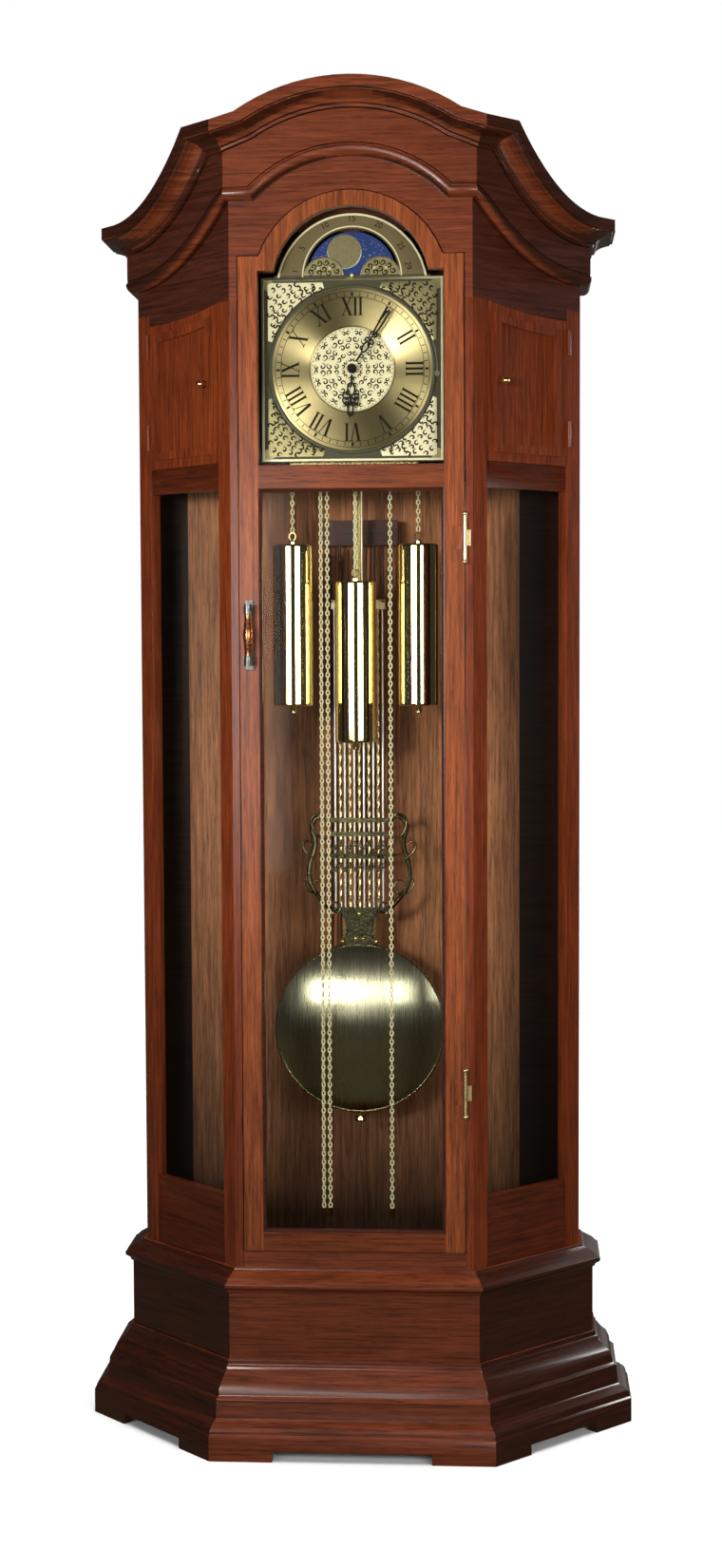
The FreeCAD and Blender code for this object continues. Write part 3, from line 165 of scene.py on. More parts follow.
def finished(name, mesh, finish, body, slot, smooth=30, bevel=0.0):
    """Common end of every piece: object, shading, soft edges, finish and body; its slot is not used."""
    obj = placed(name, mesh)
    if smooth:
        mesh.shade_smooth()
        mesh.set_sharp_from_angle(angle=math.radians(smooth))
    else:
        mesh.shade_flat()
    mesh.materials.clear()
    mesh.materials.append(finish)
    if bevel:
        soften = obj.modifiers.new("soft_edges", "BEVEL")
        soften.width = bevel
        soften.segments = 2
        soften.limit_method = "ANGLE"
        soften.angle_limit = math.radians(35)
        soften.harden_normals = True
    if body:
        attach(obj, body)
    return obj


def dressed(node, finish, body, slot, bevel=0.9 * MM, smooth=24):
    """Copy of a node with its loose triangles merged and its edges softened.

    Each face carries its cant: the share of its level direction that points to a side, which the wood
    finishes use to paint shade on canted faces.
    """
    name = node + "_dressed"
    mesh = bpy.data.meshes.new(name)
    welded(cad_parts[node].data, mesh, 1e-6)
    way = np.empty(3 * len(mesh.polygons))
    mesh.polygons.foreach_get("normal", way)
    aside, ahead, _ = np.abs(way.reshape(-1, 3)).T
    cant = aside / np.maximum(np.hypot(aside, ahead), 0.05)
    mesh.attributes.new("cant", "FLOAT", "FACE").data.foreach_set("value", cant.astype(np.float32))
    obj = finished(name, mesh, finish, body, slot, smooth, bevel)
    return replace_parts(obj, node)


def coated(node, finish):
    """Node left in its own shape, given a finish."""
    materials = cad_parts[node].data.materials
    materials.clear()
    materials.append(finish)


def turned_points(radius, along, count, centre, axis):
    """Surface of revolution: radius and height arrays spun about an axis, one row per profile point."""
    turn = around(count)[None, :]
    r, h = np.asarray(radius)[:, None], np.asarray(along)[:, None]
    across, up = r * np.cos(turn), r * np.sin(turn)
    points = (across, up, h) if axis == "z" else (across, h, -up)
    return points_at(*points) + np.asarray(centre)


def turned(name, radius, along, centre, finish, body, slot, axis="z", count=48):
    """Turned piece closed at both ends by its profile running to the axis."""
    points = turned_points(radius, along, count, centre, axis)
    faces = quads(len(radius), count, wrap_cols=True)
    return piece(name, points, faces[:, ::-1], finish, body, slot)


def knob(name, radius, spot, body, steps, count):
    """Polished ball: half a circle spun about the upright axis."""
    arc = np.linspace(0, math.pi, steps)
    across, up = radius * np.sin(arc), -radius * np.cos(arc)
    turned(name, across, up, spot, POLISHED, body, "polished_brass", count=count)


def unwrap(obj, rule):
    """Own map of a surface: two numbers worked out from each point's place, counted on past the seam."""
    mesh = obj.data
    corner = np.empty(len(mesh.loops), int)
    first, total = np.empty((2, len(mesh.polygons)), int)
    mesh.loops.foreach_get("vertex_index", corner)
    mesh.polygons.foreach_get("loop_start", first)
    mesh.polygons.foreach_get("loop_total", total)
    u, v = (number[corner] for number in rule(places(mesh)))
    u = np.where(np.repeat(np.maximum.reduceat(u, first), total) - u > 0.5, u + 1, u)
    layer = mesh.uv_layers.new(name="own")
    layer.data.foreach_set("uv", points_at(u, v).reshape(-1).astype(np.float32))


# Finishes
def finish_tree(name):
    """Empty finish: its tree, its surface shader and the object coordinates."""
    material = bpy.data.materials.new(name)
    material.use_nodes = True
    tree = material.node_tree
    shader = tree.nodes["Principled BSDF"]
    return material, tree, shader, added(tree, "TexCoord", "Object", {})


def feed(tree, node, inputs):
    """Inputs of a node, each linked from another node or set to a number or colour of its own."""
    for name, source in inputs.items():
        if isinstance(source, bpy.types.NodeSocket):
            tree.links.new(source, node.inputs[name])
        else:
            node.inputs[name].default_value = source


def added(tree, kind, output, inputs, **settings):
    """Output of a new node with its settings made and its inputs fed."""
    node = tree.nodes.new("ShaderNode" + kind)
    for name, setting in settings.items():
        setattr(node, name, setting)
    feed(tree, node, inputs)
    return node.outputs[output]


def stretched(tree, place, scale):
    """Coordinates scaled differently along each axis."""
    return added(tree, "Mapping", "Vector", {"Scale": scale, "Vector": place})


def speckle(tree, place, scale, detail=4.0, rough=0.6, warp=0.0):
    """Noise pattern on given coordinates."""
    return added(tree, "TexNoise", "Fac", {"Vector": place, "Scale": scale, "Detail": detail,
                                           "Roughness": rough, "Distortion": warp})


def ramp(tree, value, stops):
    """Colours read off a value between stops."""
    output = added(tree, "ValToRGB", "Color", {"Fac": value})
    bar = output.node.color_ramp
    while len(bar.elements) < len(stops):
        bar.elements.new(0.5)
    for element, (at, colour) in zip(bar.elements, stops):
        element.position = at
        element.color = (*colour, 1.0)
    return output


def span(tree, value, low_out, high_out, low_in=0.0, high_in=1.0):
    """Value carried from one range to another."""
    return added(tree, "MapRange", "Result", {"Value": value, "From Min": low_in, "From Max": high_in,
                                              "To Min": low_out, "To Max": high_out})


def blended(tree, first, second, kind, share):
    """Two colours mixed in one of the usual ways, the share fixed or from a pattern."""
    first, second = (c if isinstance(c, bpy.types.NodeSocket) else (*c, 1.0) for c in (first, second))
    return added(tree, "Mix", 2, {0: share, 6: first, 7: second}, data_type="RGBA", blend_type=kind)


def joined(tree, kind, first, second=0.0):
    """Two values put together by one sum."""
    return added(tree, "Math", 0, {0: first, 1: second}, operation=kind)


def raised(tree, value, strength, depth):
    """Fine relief on the surface from a pattern."""
    return added(tree, "Bump", "Normal", {"Strength": strength, "Distance": depth, "Height": value})


def coordinate(tree, place, axis):
    """One coordinate of a place."""
    return added(tree, "SeparateXYZ", axis, {"Vector": place})


def inside(tree, place, axis, bounds, centre=0.0):
    """One where the distance from a centre lies between two bounds, else nought, softly edged."""
    away = joined(tree, "ABSOLUTE", joined(tree, "SUBTRACT", coordinate(tree, place, axis), centre))
    near, far = bounds
    soft = 0.5 * MM
    rise = span(tree, away, 0, 1, near - soft, near + soft)
    fall = span(tree, away, 1, 0, far - soft, far + soft)
    return joined(tree, "MULTIPLY", rise, fall)


def mahogany(name, upright, colour, gloss=0.46, coat=0.6, cant=1.0, rails=(), rail_painted_shade=(1, 1, 1), painted_height_shade=()):
    """Lacquered wood: broad figure, fine streaks along the grain, dark pores and a glossy coat.

    Canted faces get painted shade: their colour is cut to a share. On rails, given by bounds across, up and
    deep, the grain runs the other way and a painted shade multiplies the colour. A painted shade by height
    gives the share of colour left at each height, as deep as the first of the rails.
    """
    material, tree, shader, place = finish_tree(name)
    white = (1.0, 1.0, 1.0)
    crossed_and_shaded = None
    for wide, tall, deep in rails:
        patch = inside(tree, place, "X", wide[:2], *wide[2:])
        for axis, bounds in (("Z", tall), ("Y", deep)):
            patch = joined(tree, "MULTIPLY", patch, inside(tree, place, axis, bounds))
        crossed_and_shaded = patch if crossed_and_shaded is None else joined(tree, "MAXIMUM", crossed_and_shaded, patch)

    def grain(across, drawn):
        """Coordinates drawn out along the grain."""
        ways = ((across, across, drawn), (drawn, drawn, across))
        first, second = (stretched(tree, place, way) for way in (ways if upright else ways[::-1]))
        return first if crossed_and_shaded is None else blended(tree, first, second, "MIX", crossed_and_shaded)

    streaks = speckle(tree, grain(1.0, 0.04), 240, 6, 0.6, 0.3)
    figure = speckle(tree, grain(0.35, 0.09), 22, 3, 0.5, 1.2)
    pores = speckle(tree, grain(1.6, 0.06), 640, 2, 0.5)
    dark, pale = (tuple(share * c for c in colour) for share in (0.42, 1.6))
    base = ramp(tree, streaks, ((0.28, dark), (0.5, colour), (0.74, pale)))
    base = blended(tree, base, ramp(tree, figure, ((0.3, (0.66, 0.6, 0.6)), (0.7, white))), "MULTIPLY", 0.75)
    base = blended(tree, base, ramp(tree, pores, ((0.33, (0.35, 0.3, 0.3)), (0.46, white))), "MULTIPLY", 0.7)
    # Painted shade: the colour on the rails is multiplied by their shade
    if crossed_and_shaded is not None:
        base = blended(tree, base, blended(tree, white, rail_painted_shade, "MIX", crossed_and_shaded), "MULTIPLY", 1.0)
    # Painted shade: darker towards the bottom, only as deep as the first of the rails
    if painted_height_shade:
        stops = [(height, (left, 0.96 * left, 0.96 * left)) for height, left in painted_height_shade]
        shade = ramp(tree, coordinate(tree, place, "Z"), stops)
        base = blended(tree, base, shade, "MULTIPLY", inside(tree, place, "Y", rails[0][2]))
    # Painted shade: faces turned to the sides are darkened to a share of their colour
    if cant < 1:
        mark = added(tree, "Attribute", "Fac", {}, attribute_name="cant")
        shade = ramp(tree, mark, ((0.25, white), (0.6, (cant, cant, cant))))
        base = blended(tree, base, shade, "MULTIPLY", 1.0)
    feed(tree, shader, {"Base Color": base, "Specular IOR Level": 0.1, "Coat Weight": coat,
                        "Coat Roughness": 0.22,
                        "Roughness": span(tree, streaks, gloss - 0.06, gloss + 0.1, 0.3, 0.7),
                        "Normal": raised(tree, pores, 0.12, 0.4 * MM)})
    return material


def brass(name, colour, shade, rough, scale=300, relief=0.05, tarnish=0.35, brush=(1, 1, 1)):
    """Metal with fine brush marks along one axis and a soft uneven tarnish."""
    material, tree, shader, place = finish_tree(name)
    marks = speckle(tree, stretched(tree, place, brush), scale, 3, 0.6)
    clouds = span(tree, speckle(tree, place, 14, 4, 0.6), 0.0, tarnish, 0.35, 0.75)
    feed(tree, shader, {"Base Color": blended(tree, colour, shade, "MIX", clouds), "Metallic": 1.0,
                        "Roughness": span(tree, marks, rough * 0.7, rough * 1.5, 0.3, 0.7),
                        "Normal": raised(tree, marks, relief, 0.3 * MM)})
    return material


def brushed(name, colour, rough, grain, quarter, marks):
    """Metal brushed one way: the gloss is drawn out along the piece's own map, turned by a part of a turn."""
    material, tree, shader, place = finish_tree(name)
    own = added(tree, "UVMap", "UV", {}, uv_map="own")
    rings = speckle(tree, stretched(tree, own, marks), 1.0, 4, 0.7)
    clouds = speckle(tree, place, 20, 3, 0.6)
    shade = tuple(0.72 * c for c in colour)
    lead = added(tree, "Tangent", "Tangent", {}, direction_type="UV_MAP", uv_map="own")
    feed(tree, shader, {"Base Color": blended(tree, colour, shade, "MIX", clouds), "Metallic": 1.0,
                        "Anisotropic": grain, "Anisotropic Rotation": quarter, "Tangent": lead,
                        "Roughness": span(tree, rings, rough * 0.8, rough * 1.2, 0.3, 0.7)})
    return material


def paint(name, colour, shade, rough, scale=60, sheen=0.3):
    """Painted or oxidised surface with a slight mottle."""
    material, tree, shader, place = finish_tree(name)
    mottle = speckle(tree, place, scale, 5, 0.6)
    feed(tree, shader, {"Base Color": blended(tree, colour, shade, "MIX", mottle),
                        "Roughness": span(tree, mottle, rough * 0.8, rough * 1.3),
                        "Specular IOR Level": sheen})
    return material


def clear_glass(name):
    """Thin pane: clear straight through, with a reflection that grows at a slant."""
    material, tree, _, place = finish_tree(name)
    clear = added(tree, "BsdfTransparent", "BSDF", {"Color": (0.96, 0.975, 0.965, 1)})
    smear = span(tree, speckle(tree, place, 9, 3, 0.5), 0.01, 0.05)
    gloss = added(tree, "BsdfGlossy", "BSDF", {"Roughness": smear})
    slant = joined(tree, "POWER", added(tree, "LayerWeight", "Facing", {"Blend": 0.5}), 5.0)
    pane = added(tree, "MixShader", "Shader", {"Fac": span(tree, slant, 0.003, 0.5), 1: clear, 2: gloss})
    feed(tree, tree.nodes["Material Output"], {"Surface": pane})
    return material


# Bounds of the rails, from the middle outwards and from the floor upwards
EVERY = (-1, 4)
SIDE_WINDOW = (204.5 * MM, 327.5 * MM)
SIDE_RAILS = tuple((SIDE_WINDOW, tall, EVERY) for tall in ((266 * MM, 386 * MM), (1478 * MM, 1517 * MM)))
WINDOW_HALF, WINDOW_FOOT, WINDOW_HEAD = 141 * MM, 334 * MM, 1476 * MM
DOOR_RAILS = tuple(((-1, WINDOW_HALF), tall, EVERY)
                   for tall in ((304 * MM, WINDOW_FOOT), (WINDOW_HEAD, 1512 * MM)))
# Outer strips of the back board, a little off the middle, darkened as a painted shadow
SHADOWED_BACK_EDGES = (((270 * MM, 1, -15 * MM), EVERY, (0, low("back_panel")[1] + 1 * MM)),)
# Rails of the side frames are darkened by painted shade
UPRIGHT = mahogany("upright_mahogany", True, (0.135, 0.0245, 0.0055), rails=SIDE_RAILS,
                   rail_painted_shade=(0.5, 0.5, 0.55))
# Rails of the door are darkened by painted shade
DOOR = mahogany("door_mahogany", True, (0.19, 0.047, 0.012), coat=0.4, rails=DOOR_RAILS,
                rail_painted_shade=(0.72, 0.66, 0.66))
# Canted faces of the level wood keep a quarter of their colour: painted shade
LEVEL = mahogany("level_mahogany", False, (0.123, 0.026, 0.0075), coat=0.9, cant=0.25)
# Dark copy of the same wood for pieces that sit in shade: painted shade
SHADED_WOOD = mahogany("shaded_mahogany", False, (0.05, 0.0125, 0.006), coat=0.7)
# Inside veneer: painted shadow on the back board's outer strips and painted shade darker towards the bottom
INSIDE = mahogany("inside_veneer", True, (0.25, 0.105, 0.045), 0.5, 0.05, rails=SHADOWED_BACK_EDGES,
                  rail_painted_shade=(0.06, 0.05, 0.05), painted_height_shade=((0.30, 0.14), (0.39, 0.42), (0.74, 1.0)))
GLASS = clear_glass("window_glass")
ALONG_ROD = (1, 1, 0.02)
POLISHED = brass("polished_brass", (0.86, 0.66, 0.28), (0.70, 0.49, 0.18), 0.13, 500, brush=ALONG_ROD)
GOLD = brass("dial_gold", (0.83, 0.66, 0.33), (0.70, 0.52, 0.22), 0.3, 700)
PEWTER = brass("pewter", (0.20, 0.19, 0.18), (0.06, 0.06, 0.06), 0.34, 260, 0.3, 0.8)
COPPER = brass("copper_grip", (0.46, 0.17, 0.07), (0.26, 0.08, 0.03), 0.24)
OLIVE = brass("olive_gold", (0.40, 0.33, 0.16), (0.30, 0.24, 0.10), 0.36, 700)
WORKS = brass("movement_brass", (0.72, 0.55, 0.25), (0.55, 0.4, 0.16), 0.25)
STEEL = brass("grey_steel", (0.22, 0.21, 0.20), (0.12, 0.11, 0.10), 0.4)
BRUSHED = brushed("brushed_gold", (0.66, 0.51, 0.24), 0.33, 0.9, 0.25, (3, 260, 1))
BOB = brushed("brushed_bob", (0.52, 0.47, 0.31), 0.27, 0.9, 0.0, (240, 3, 1))
MIRROR = brass("mirror_brass", (0.90, 0.74, 0.36), (0.80, 0.62, 0.26), 0.05, 500, 0.01, 0.5, ALONG_ROD)
SILVER = brass("silvered_rod", (0.80, 0.73, 0.68), (0.66, 0.58, 0.53), 0.34, 500, brush=ALONG_ROD)
BRONZE = brass("dark_bronze", (0.20, 0.17, 0.08), (0.06, 0.05, 0.03), 0.2, 260, 0.05, 0.8)
PALE = brass("pale_gold", (0.80, 0.70, 0.46), (0.68, 0.56, 0.31), 0.42, 900)
CHAIN = paint("pale_chain", (0.74, 0.64, 0.40), (0.58, 0.48, 0.26), 0.2, 300, 0.8)
GROUND = paint("dial_ground", (0.030, 0.026, 0.012), (0.060, 0.050, 0.022), 0.35, 220)
BAND = paint("bronze_band", (0.125, 0.085, 0.032), (0.085, 0.058, 0.022), 0.45, 300)
GRAINED = paint("grained_moon", (0.23, 0.185, 0.09), (0.05, 0.04, 0.015), 0.4, 420)
IVORY = paint("etched_ivory", (0.62, 0.54, 0.34), (0.50, 0.42, 0.24), 0.45, 160)
INK = paint("engraving_ink", (0.008, 0.006, 0.004), (0.022, 0.016, 0.010), 0.6, 60, 0.03)
BLACK = paint("black_hands", (0.006, 0.006, 0.005), (0.014, 0.013, 0.012), 0.4, 60, 0.08)
SKY = paint("night_blue", (0.006, 0.015, 0.080), (0.012, 0.030, 0.130), 0.4)

# Body and slot of the pieces on the dial and on the pendulum
GILT = ("case", "dial_gold")
ENGRAVED = (INK, "case", "hand_black")
SWINGING = ("pendulum", "polished_brass")

# Case, door and inside boards
# The friezes take the dark shaded wood copy as painted shade
for word, _ in SIDES:
    dressed("side_frame_" + word, UPRIGHT, "case", "wood_upright")
    dressed("frieze_" + word, SHADED_WOOD, "case", "wood_level", 0.0, 0)
    dressed("access_door_" + word, UPRIGHT, "access_" + word, "wood_upright", 0.0, 0)
dressed("hood_header", LEVEL, "case", "wood_level", 0.0, 0)
for node in ("cornices", "astragals", "sill_rail", "base_panels", "plinth_mouldings", "skirt_and_feet",
             "base_top"):
    dressed(node, LEVEL, "case", "wood_level", 1.4 * MM, 16)
dressed("back_panel", INSIDE, "case", "wood_inside")
# Dust and seat boards take the dark shaded wood copy as painted shade
for node in ("dust_board", "seat_board"):
    dressed(node, SHADED_WOOD, "case", "wood_inside")
dressed("door_frame", DOOR, "door", "wood_upright")

for finish, nodes in (
        (GLASS, ("side_glasses", "door_glasses")), (GOLD, ("hinge_barrels", "chapter_ring")),
        (PEWTER, ("door_handle",)), (GROUND, ("dial_plate",)), (OLIVE, ("dial_trim",)), (SKY, ("moon_dial",)),
        (STEEL, ("chime_selector", "anchor_crutch")), (BLACK, ("minute_hand", "hour_hand")),
        (WORKS, ("movement_frame", "centre_wheel", "great_wheel", "second_wheel", "third_wheel",
                 "minute_wheel", "hour_wheel", "escape_wheel")),
        # The chimes take the dark shaded wood copy as painted shade
        (SHADED_WOOD, ("chimes",)), (SILVER, ("grid_rods",)), (BRONZE, ("grid_bars",)),
        (POLISHED, ("pendulum_rod", "bob", "rating_nut"))):
    for node in nodes:
        coated(node, finish)
for word in STRANDS:
    for part in ("weight_", "sprocket_", "free_ring_", "chain_weight_", "chain_free_"):
        coated(part + word, POLISHED)


# Patterns of small shapes
def plates(name, outlines, near, far, centre, finish, body, slot, bevel=0.0):
    """Thin flat plates facing the front: rows of outline corners carried from one depth to another."""
    outlines = np.asarray(outlines, float)
    after = np.roll(outlines, -1, 1)
    area = (outlines[..., 0] * after[..., 1] - after[..., 0] * outlines[..., 1]).sum(1)
    outlines = np.where(area[:, None, None] < 0, outlines[:, ::-1], outlines)
    count, corners, _ = outlines.shape
    total = count * corners
    points = np.concatenate([on_dial(outlines.reshape(-1, 2), depth, centre) for depth in (near, far)])
    index = np.arange(total).reshape(count, corners)
    after = np.roll(index, -1, 1)
    sides = np.stack([after, index, index + total, after + total], -1).reshape(-1, 4)
    faces = index.tolist() + (index[:, ::-1] + total).tolist() + sides.tolist()
    return piece(name, points, faces, finish, body, slot, 20, bevel)


def wires(name, paths, radius, sides, finish, body, slot, closed=False, flatten=1.0):
    """Bundle of round wires: a circle carried square to each path, drawn in where the radius is small."""
    paths = np.asarray(paths, float)
    count, steps, _ = paths.shape
    if closed:
        lead = np.roll(paths, -1, 1) - np.roll(paths, 1, 1)
    else:
        lead = np.gradient(paths, axis=1)
    lead /= np.linalg.norm(lead, axis=2, keepdims=True)
    guide = np.where(np.abs(lead[..., 1:2]) > 0.9, np.array([1.0, 0, 0]), np.array([0, 1.0, 0]))
    aside = np.cross(lead, guide)
    aside /= np.linalg.norm(aside, axis=2, keepdims=True)
    over = np.cross(aside, lead)
    turn = around(sides)[:, None]
    r = np.broadcast_to(np.asarray(radius, float), (count, steps))[..., None, None]
    ring = np.cos(turn) * aside[:, :, None] + flatten * np.sin(turn) * over[:, :, None]
    points = paths[:, :, None] + r * ring
    if not closed:
        ends = [np.repeat(paths[:, k:k + 1, None], sides, 2) for k in (0, steps - 1)]
        points = np.concatenate([ends[0], points, ends[1]], 1)
        steps += 2
    faces = repeated(quads(steps, sides, wrap_rows=closed, wrap_cols=True), count, steps * sides)
    return piece(name, points, faces[:, ::-1], finish, body, slot, 60)


def smooth_path(knots, count):
    """Smooth line through a few points: each stretch is a cubic with the slopes of its neighbours."""
    knots = np.asarray(knots, float)
    padded = np.concatenate([2 * knots[:1] - knots[1:2], knots, 2 * knots[-1:] - knots[-2:-1]])
    at = np.linspace(0, len(knots) - 1 - 1e-9, count)
    i = at.astype(int)
    t = (at - i)[:, None]
    a, b, c, d = padded[i], padded[i + 1], padded[i + 2], padded[i + 3]
    bend, twist = 2 * a - 5 * b + 4 * c - d, 3 * b - 3 * c + d - a
    return 0.5 * (2 * b + (c - a) * t + bend * t ** 2 + twist * t ** 3)


def curls(spots, size, start, turns, steps=14):
    """Spirals: the arm shrinks to its centre as it turns, one row per curl."""
    s = np.linspace(0, 1, steps)[None, :]
    size, start, turns = (np.asarray(v, float).reshape(-1, 1) for v in (size, start, turns))
    return np.asarray(spots, float)[:, None] + polar(size * (1 - 0.88 * s), start + turns * TAU * s)


def engraving(name, paths, depth, centre, thick, start=0.15, flatten=0.4):
    """Dark scrolls cut in a plate: flat wires, as thick as the sine of their length, so thin at both ends."""
    taper = thick * np.sin(np.linspace(start, 3.0, paths.shape[1])) ** 0.7
    wires(name, on_dial(paths, depth, centre), taper[None, :], 4, *ENGRAVED, flatten=flatten)


# Dial
# Each letter has its width, its strokes from foot to head and thick, and the place and width of its serifs
STROKES = {
    "I": (0.30, ((0.15, 0, 0.15, 1, 0.13),), ((0.15, 0.24),)),
    "V": (0.66, ((0.30, 0, 0.13, 1, 0.15), (0.34, 0, 0.55, 1, 0.05)), ((0.13, 0.24), (0.55, 0.2))),
    "X": (0.66, ((0.54, 0, 0.12, 1, 0.15), (0.10, 0, 0.55, 1, 0.05)), ((0.12, 0.24), (0.54, 0.24))),
}
HOURS = ("XII", "I", "II", "III", "IIII", "V", "VI", "VII", "VIII", "IX", "X", "XI")


def numeral(word, hour, tall, base):
    """Strokes and thin serifs of one numeral, set out from the dial centre and turned to its hour."""
    thin = 0.04
    bars = []
    pen = 0.0
    for letter in word:
        wide, strokes, serifs = STROKES[letter]
        for x0, y0, x1, y1, thick in strokes:
            bars.append([(pen + x0 - thick / 2, y0), (pen + x0 + thick / 2, y0),
                         (pen + x1 + thick / 2, y1), (pen + x1 - thick / 2, y1)])
        for x, spread in serifs:
            left, right = pen + x - spread / 2, pen + x + spread / 2
            for foot in ((0.0, 1 - thin) if letter != "V" else (1 - thin,)):
                bars.append([(left, foot), (right, foot), (right, foot + thin), (left, foot + thin)])
        pen += wide
    bars = np.array(bars)
    return clockwise((bars[..., 0] - pen / 2) * tall, base + bars[..., 1] * tall, TAU * hour / 12)


def hoop(name, profile, front, finish, smooth):
    """Closed ring of the dial: rows of radius and depth behind the front, spun about the dial centre."""
    count = 144
    points = turned_points(profile[:, 0], front + profile[:, 1], count, (DIAL[0], 0, DIAL[2]), "y")
    return piece(name, points, quads(len(profile), count, True, True), finish, *GILT, smooth)


def dial_face():
    """Gold dial: ring brushed in circles, dark rim, numerals, minute track and rings about its centre."""
    front = low("chapter_ring")[1]
    ring = mm((64, 0.9), (64, -0.1), (64.6, -0.3), (122.6, -0.3), (123, 0.2), (125, 0.2), (125, 1.4),
              (64, 1.4))
    obj = hoop("chapter_ring_brushed", ring, front, BRUSHED, 25)
    unwrap(obj, lambda p: (np.arctan2(p[:, 0] - DIAL[0], p[:, 2] - DIAL[2]) / TAU + 0.5,
                           np.hypot(p[:, 0] - DIAL[0], p[:, 2] - DIAL[2]) / RING))
    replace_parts(obj, "chapter_ring")
    rim = mm((122.8, 1.0), (122.8, -1.0), (124, -1.6), (127, -1.6), (128.3, -0.8), (128.3, 1.0))
    hoop("dial_rim", rim, front, GROUND, 40)
    face = front - 0.3 * MM
    sunk = face + 0.1 * MM
    numeral_height, numeral_foot = 27 * MM, 81.5 * MM
    bars = [numeral(word, hour, numeral_height, numeral_foot) for hour, word in enumerate(HOURS)]
    plates("hour_numerals", np.concatenate(bars), face - 0.25 * MM, sunk, DIAL, *ENGRAVED)
    minute = np.arange(60)[:, None]
    aside = np.array([-1, -1, 1, 1]) * np.where(minute % 5 == 0, 1.6, 0.6) * MM
    track = clockwise(aside, mm(111, 116.5, 116.5, 111), TAU * minute / 60)
    plates("minute_track", track, face - 0.2 * MM, sunk, DIAL, *ENGRAVED)
    circles = polar(mm(65.5, 109.8, 118)[:, None], around(120))
    wires("ring_lines", on_dial(circles, face, DIAL), 0.4 * MM, 4, *ENGRAVED, closed=True)


def medallion():
    """Etched middle of the dial: ivory disc with rings of dark scrolls, mirrored in pairs about each ray."""
    front = low("dial_trim")[1]
    hole, edge = 6 * MM, 63.5 * MM
    turned("dial_middle", [hole, edge - 2 * MM, edge - 1 * MM, edge, edge, hole], mm(0, 0, -0.7, 0, 1.6, 1.6),
           (DIAL[0], front - 0.2 * MM, DIAL[2]), IVORY, *GILT, "y", 96)
    paths = []
    # Each ring of scrolls has its radius, the size of a scroll, how many pairs and how far they turn
    rings = ((15, 5.0, 6, 0.9), (25, 6.6, 8, 1.1), (35, 7.4, 10, -1.15), (46, 8.0, 12, 1.1),
             (55, 5.6, 18, -1.0))
    for radius, size, count, turn in rings:
        ray = TAU * (np.arange(count) + 0.5 * (turn < 0)) / count + TAU / 4
        for side in (-1, 1):
            aim = ray + side * 0.62 * size / radius
            paths.append(curls(polar(radius, aim) * MM, 0.66 * size * MM, aim + side * 1.2, side * turn))
    engraving("middle_engraving", np.concatenate(paths), front - 0.25 * MM, DIAL, 1.15 * MM, 0.12)
    dots = polar(61 * MM, around(60)[:, None]) + polar(1.0 * MM, around(6))
    plates("middle_dots", dots, front - 0.45 * MM, front, DIAL, *ENGRAVED)


def corner_plates():
    """Corner plates and border: rays from the dial centre, cut by a circle and two edges, under scrolls."""
    front = low("dial_plate")[1]
    half = high("dial_plate")[0]
    inner = RING + 5 * MM
    raise_by = 2.6 * MM

    def reach(ray):
        """Length of a ray beyond the circle, up to the nearer of the two straight edges."""
        return np.minimum((half - 11 * MM) / np.cos(ray), (half - 8.5 * MM) / np.sin(ray)) - inner

    rays, steps = 33, 9
    ray = np.radians(np.linspace(19, 71, rays))[:, None]
    share = np.linspace(0, 1, steps)
    flat = polar(inner + np.maximum(reach(ray), 0.3 * MM) * share, ray)
    bulge = 0.4 * MM * np.sin(math.pi * share) ** 0.5 + 2.1 * MM
    faces = quads(rays, 2 * steps, wrap_cols=True)
    columns = 13
    aim, out = np.meshgrid(np.radians(np.linspace(22, 68, columns)), np.linspace(0.14, 0.86, 4))
    out = out + 0.12 * (np.arange(columns) % 2) - 0.06
    fits = reach(aim) > mm(6, 14, 14, 24)[:, None]
    aim, away = aim[fits], (inner + reach(aim) * out)[fits]
    lean = np.where(np.arange(len(aim)) % 2, 1.0, -1.0)
    scrolls = curls(polar(away, aim), 4.6 * MM, aim + 2.2 * lean, 0.85 * lean)
    # Corner plates of one gilt: olive at upper right and lower left, ivory at upper left, pale at lower
    # right, as painted light and shade
    for name, across, up, finish in (("upper_right", 1, 1, OLIVE), ("upper_left", -1, 1, IVORY),
                                     ("lower_left", -1, -1, OLIVE), ("lower_right", 1, -1, PALE)):
        mirror = np.array([across, up])
        grid = on_dial(flat * mirror, front - bulge, DIAL)
        back = on_dial((flat * mirror)[:, ::-1], front + 0.5 * MM, DIAL)
        piece("corner_plate_" + name, np.concatenate([grid, back], 1),
              faces if across * up > 0 else faces[:, ::-1], finish, *GILT, 60)
        engraving("corner_scrolls_" + name, scrolls * mirror, front - raise_by, DIAL, 1.3 * MM, flatten=0.5)
    after = np.roll(CORNERS, -1, 0)
    border_out, border_in = half - 1 * MM, half - 5 * MM
    rails = np.stack([CORNERS * border_out, after * border_out, after * border_in, CORNERS * border_in], 1)
    plates("dial_border", rails, front - raise_by, front, DIAL, PALE, *GILT, 0.6 * MM)


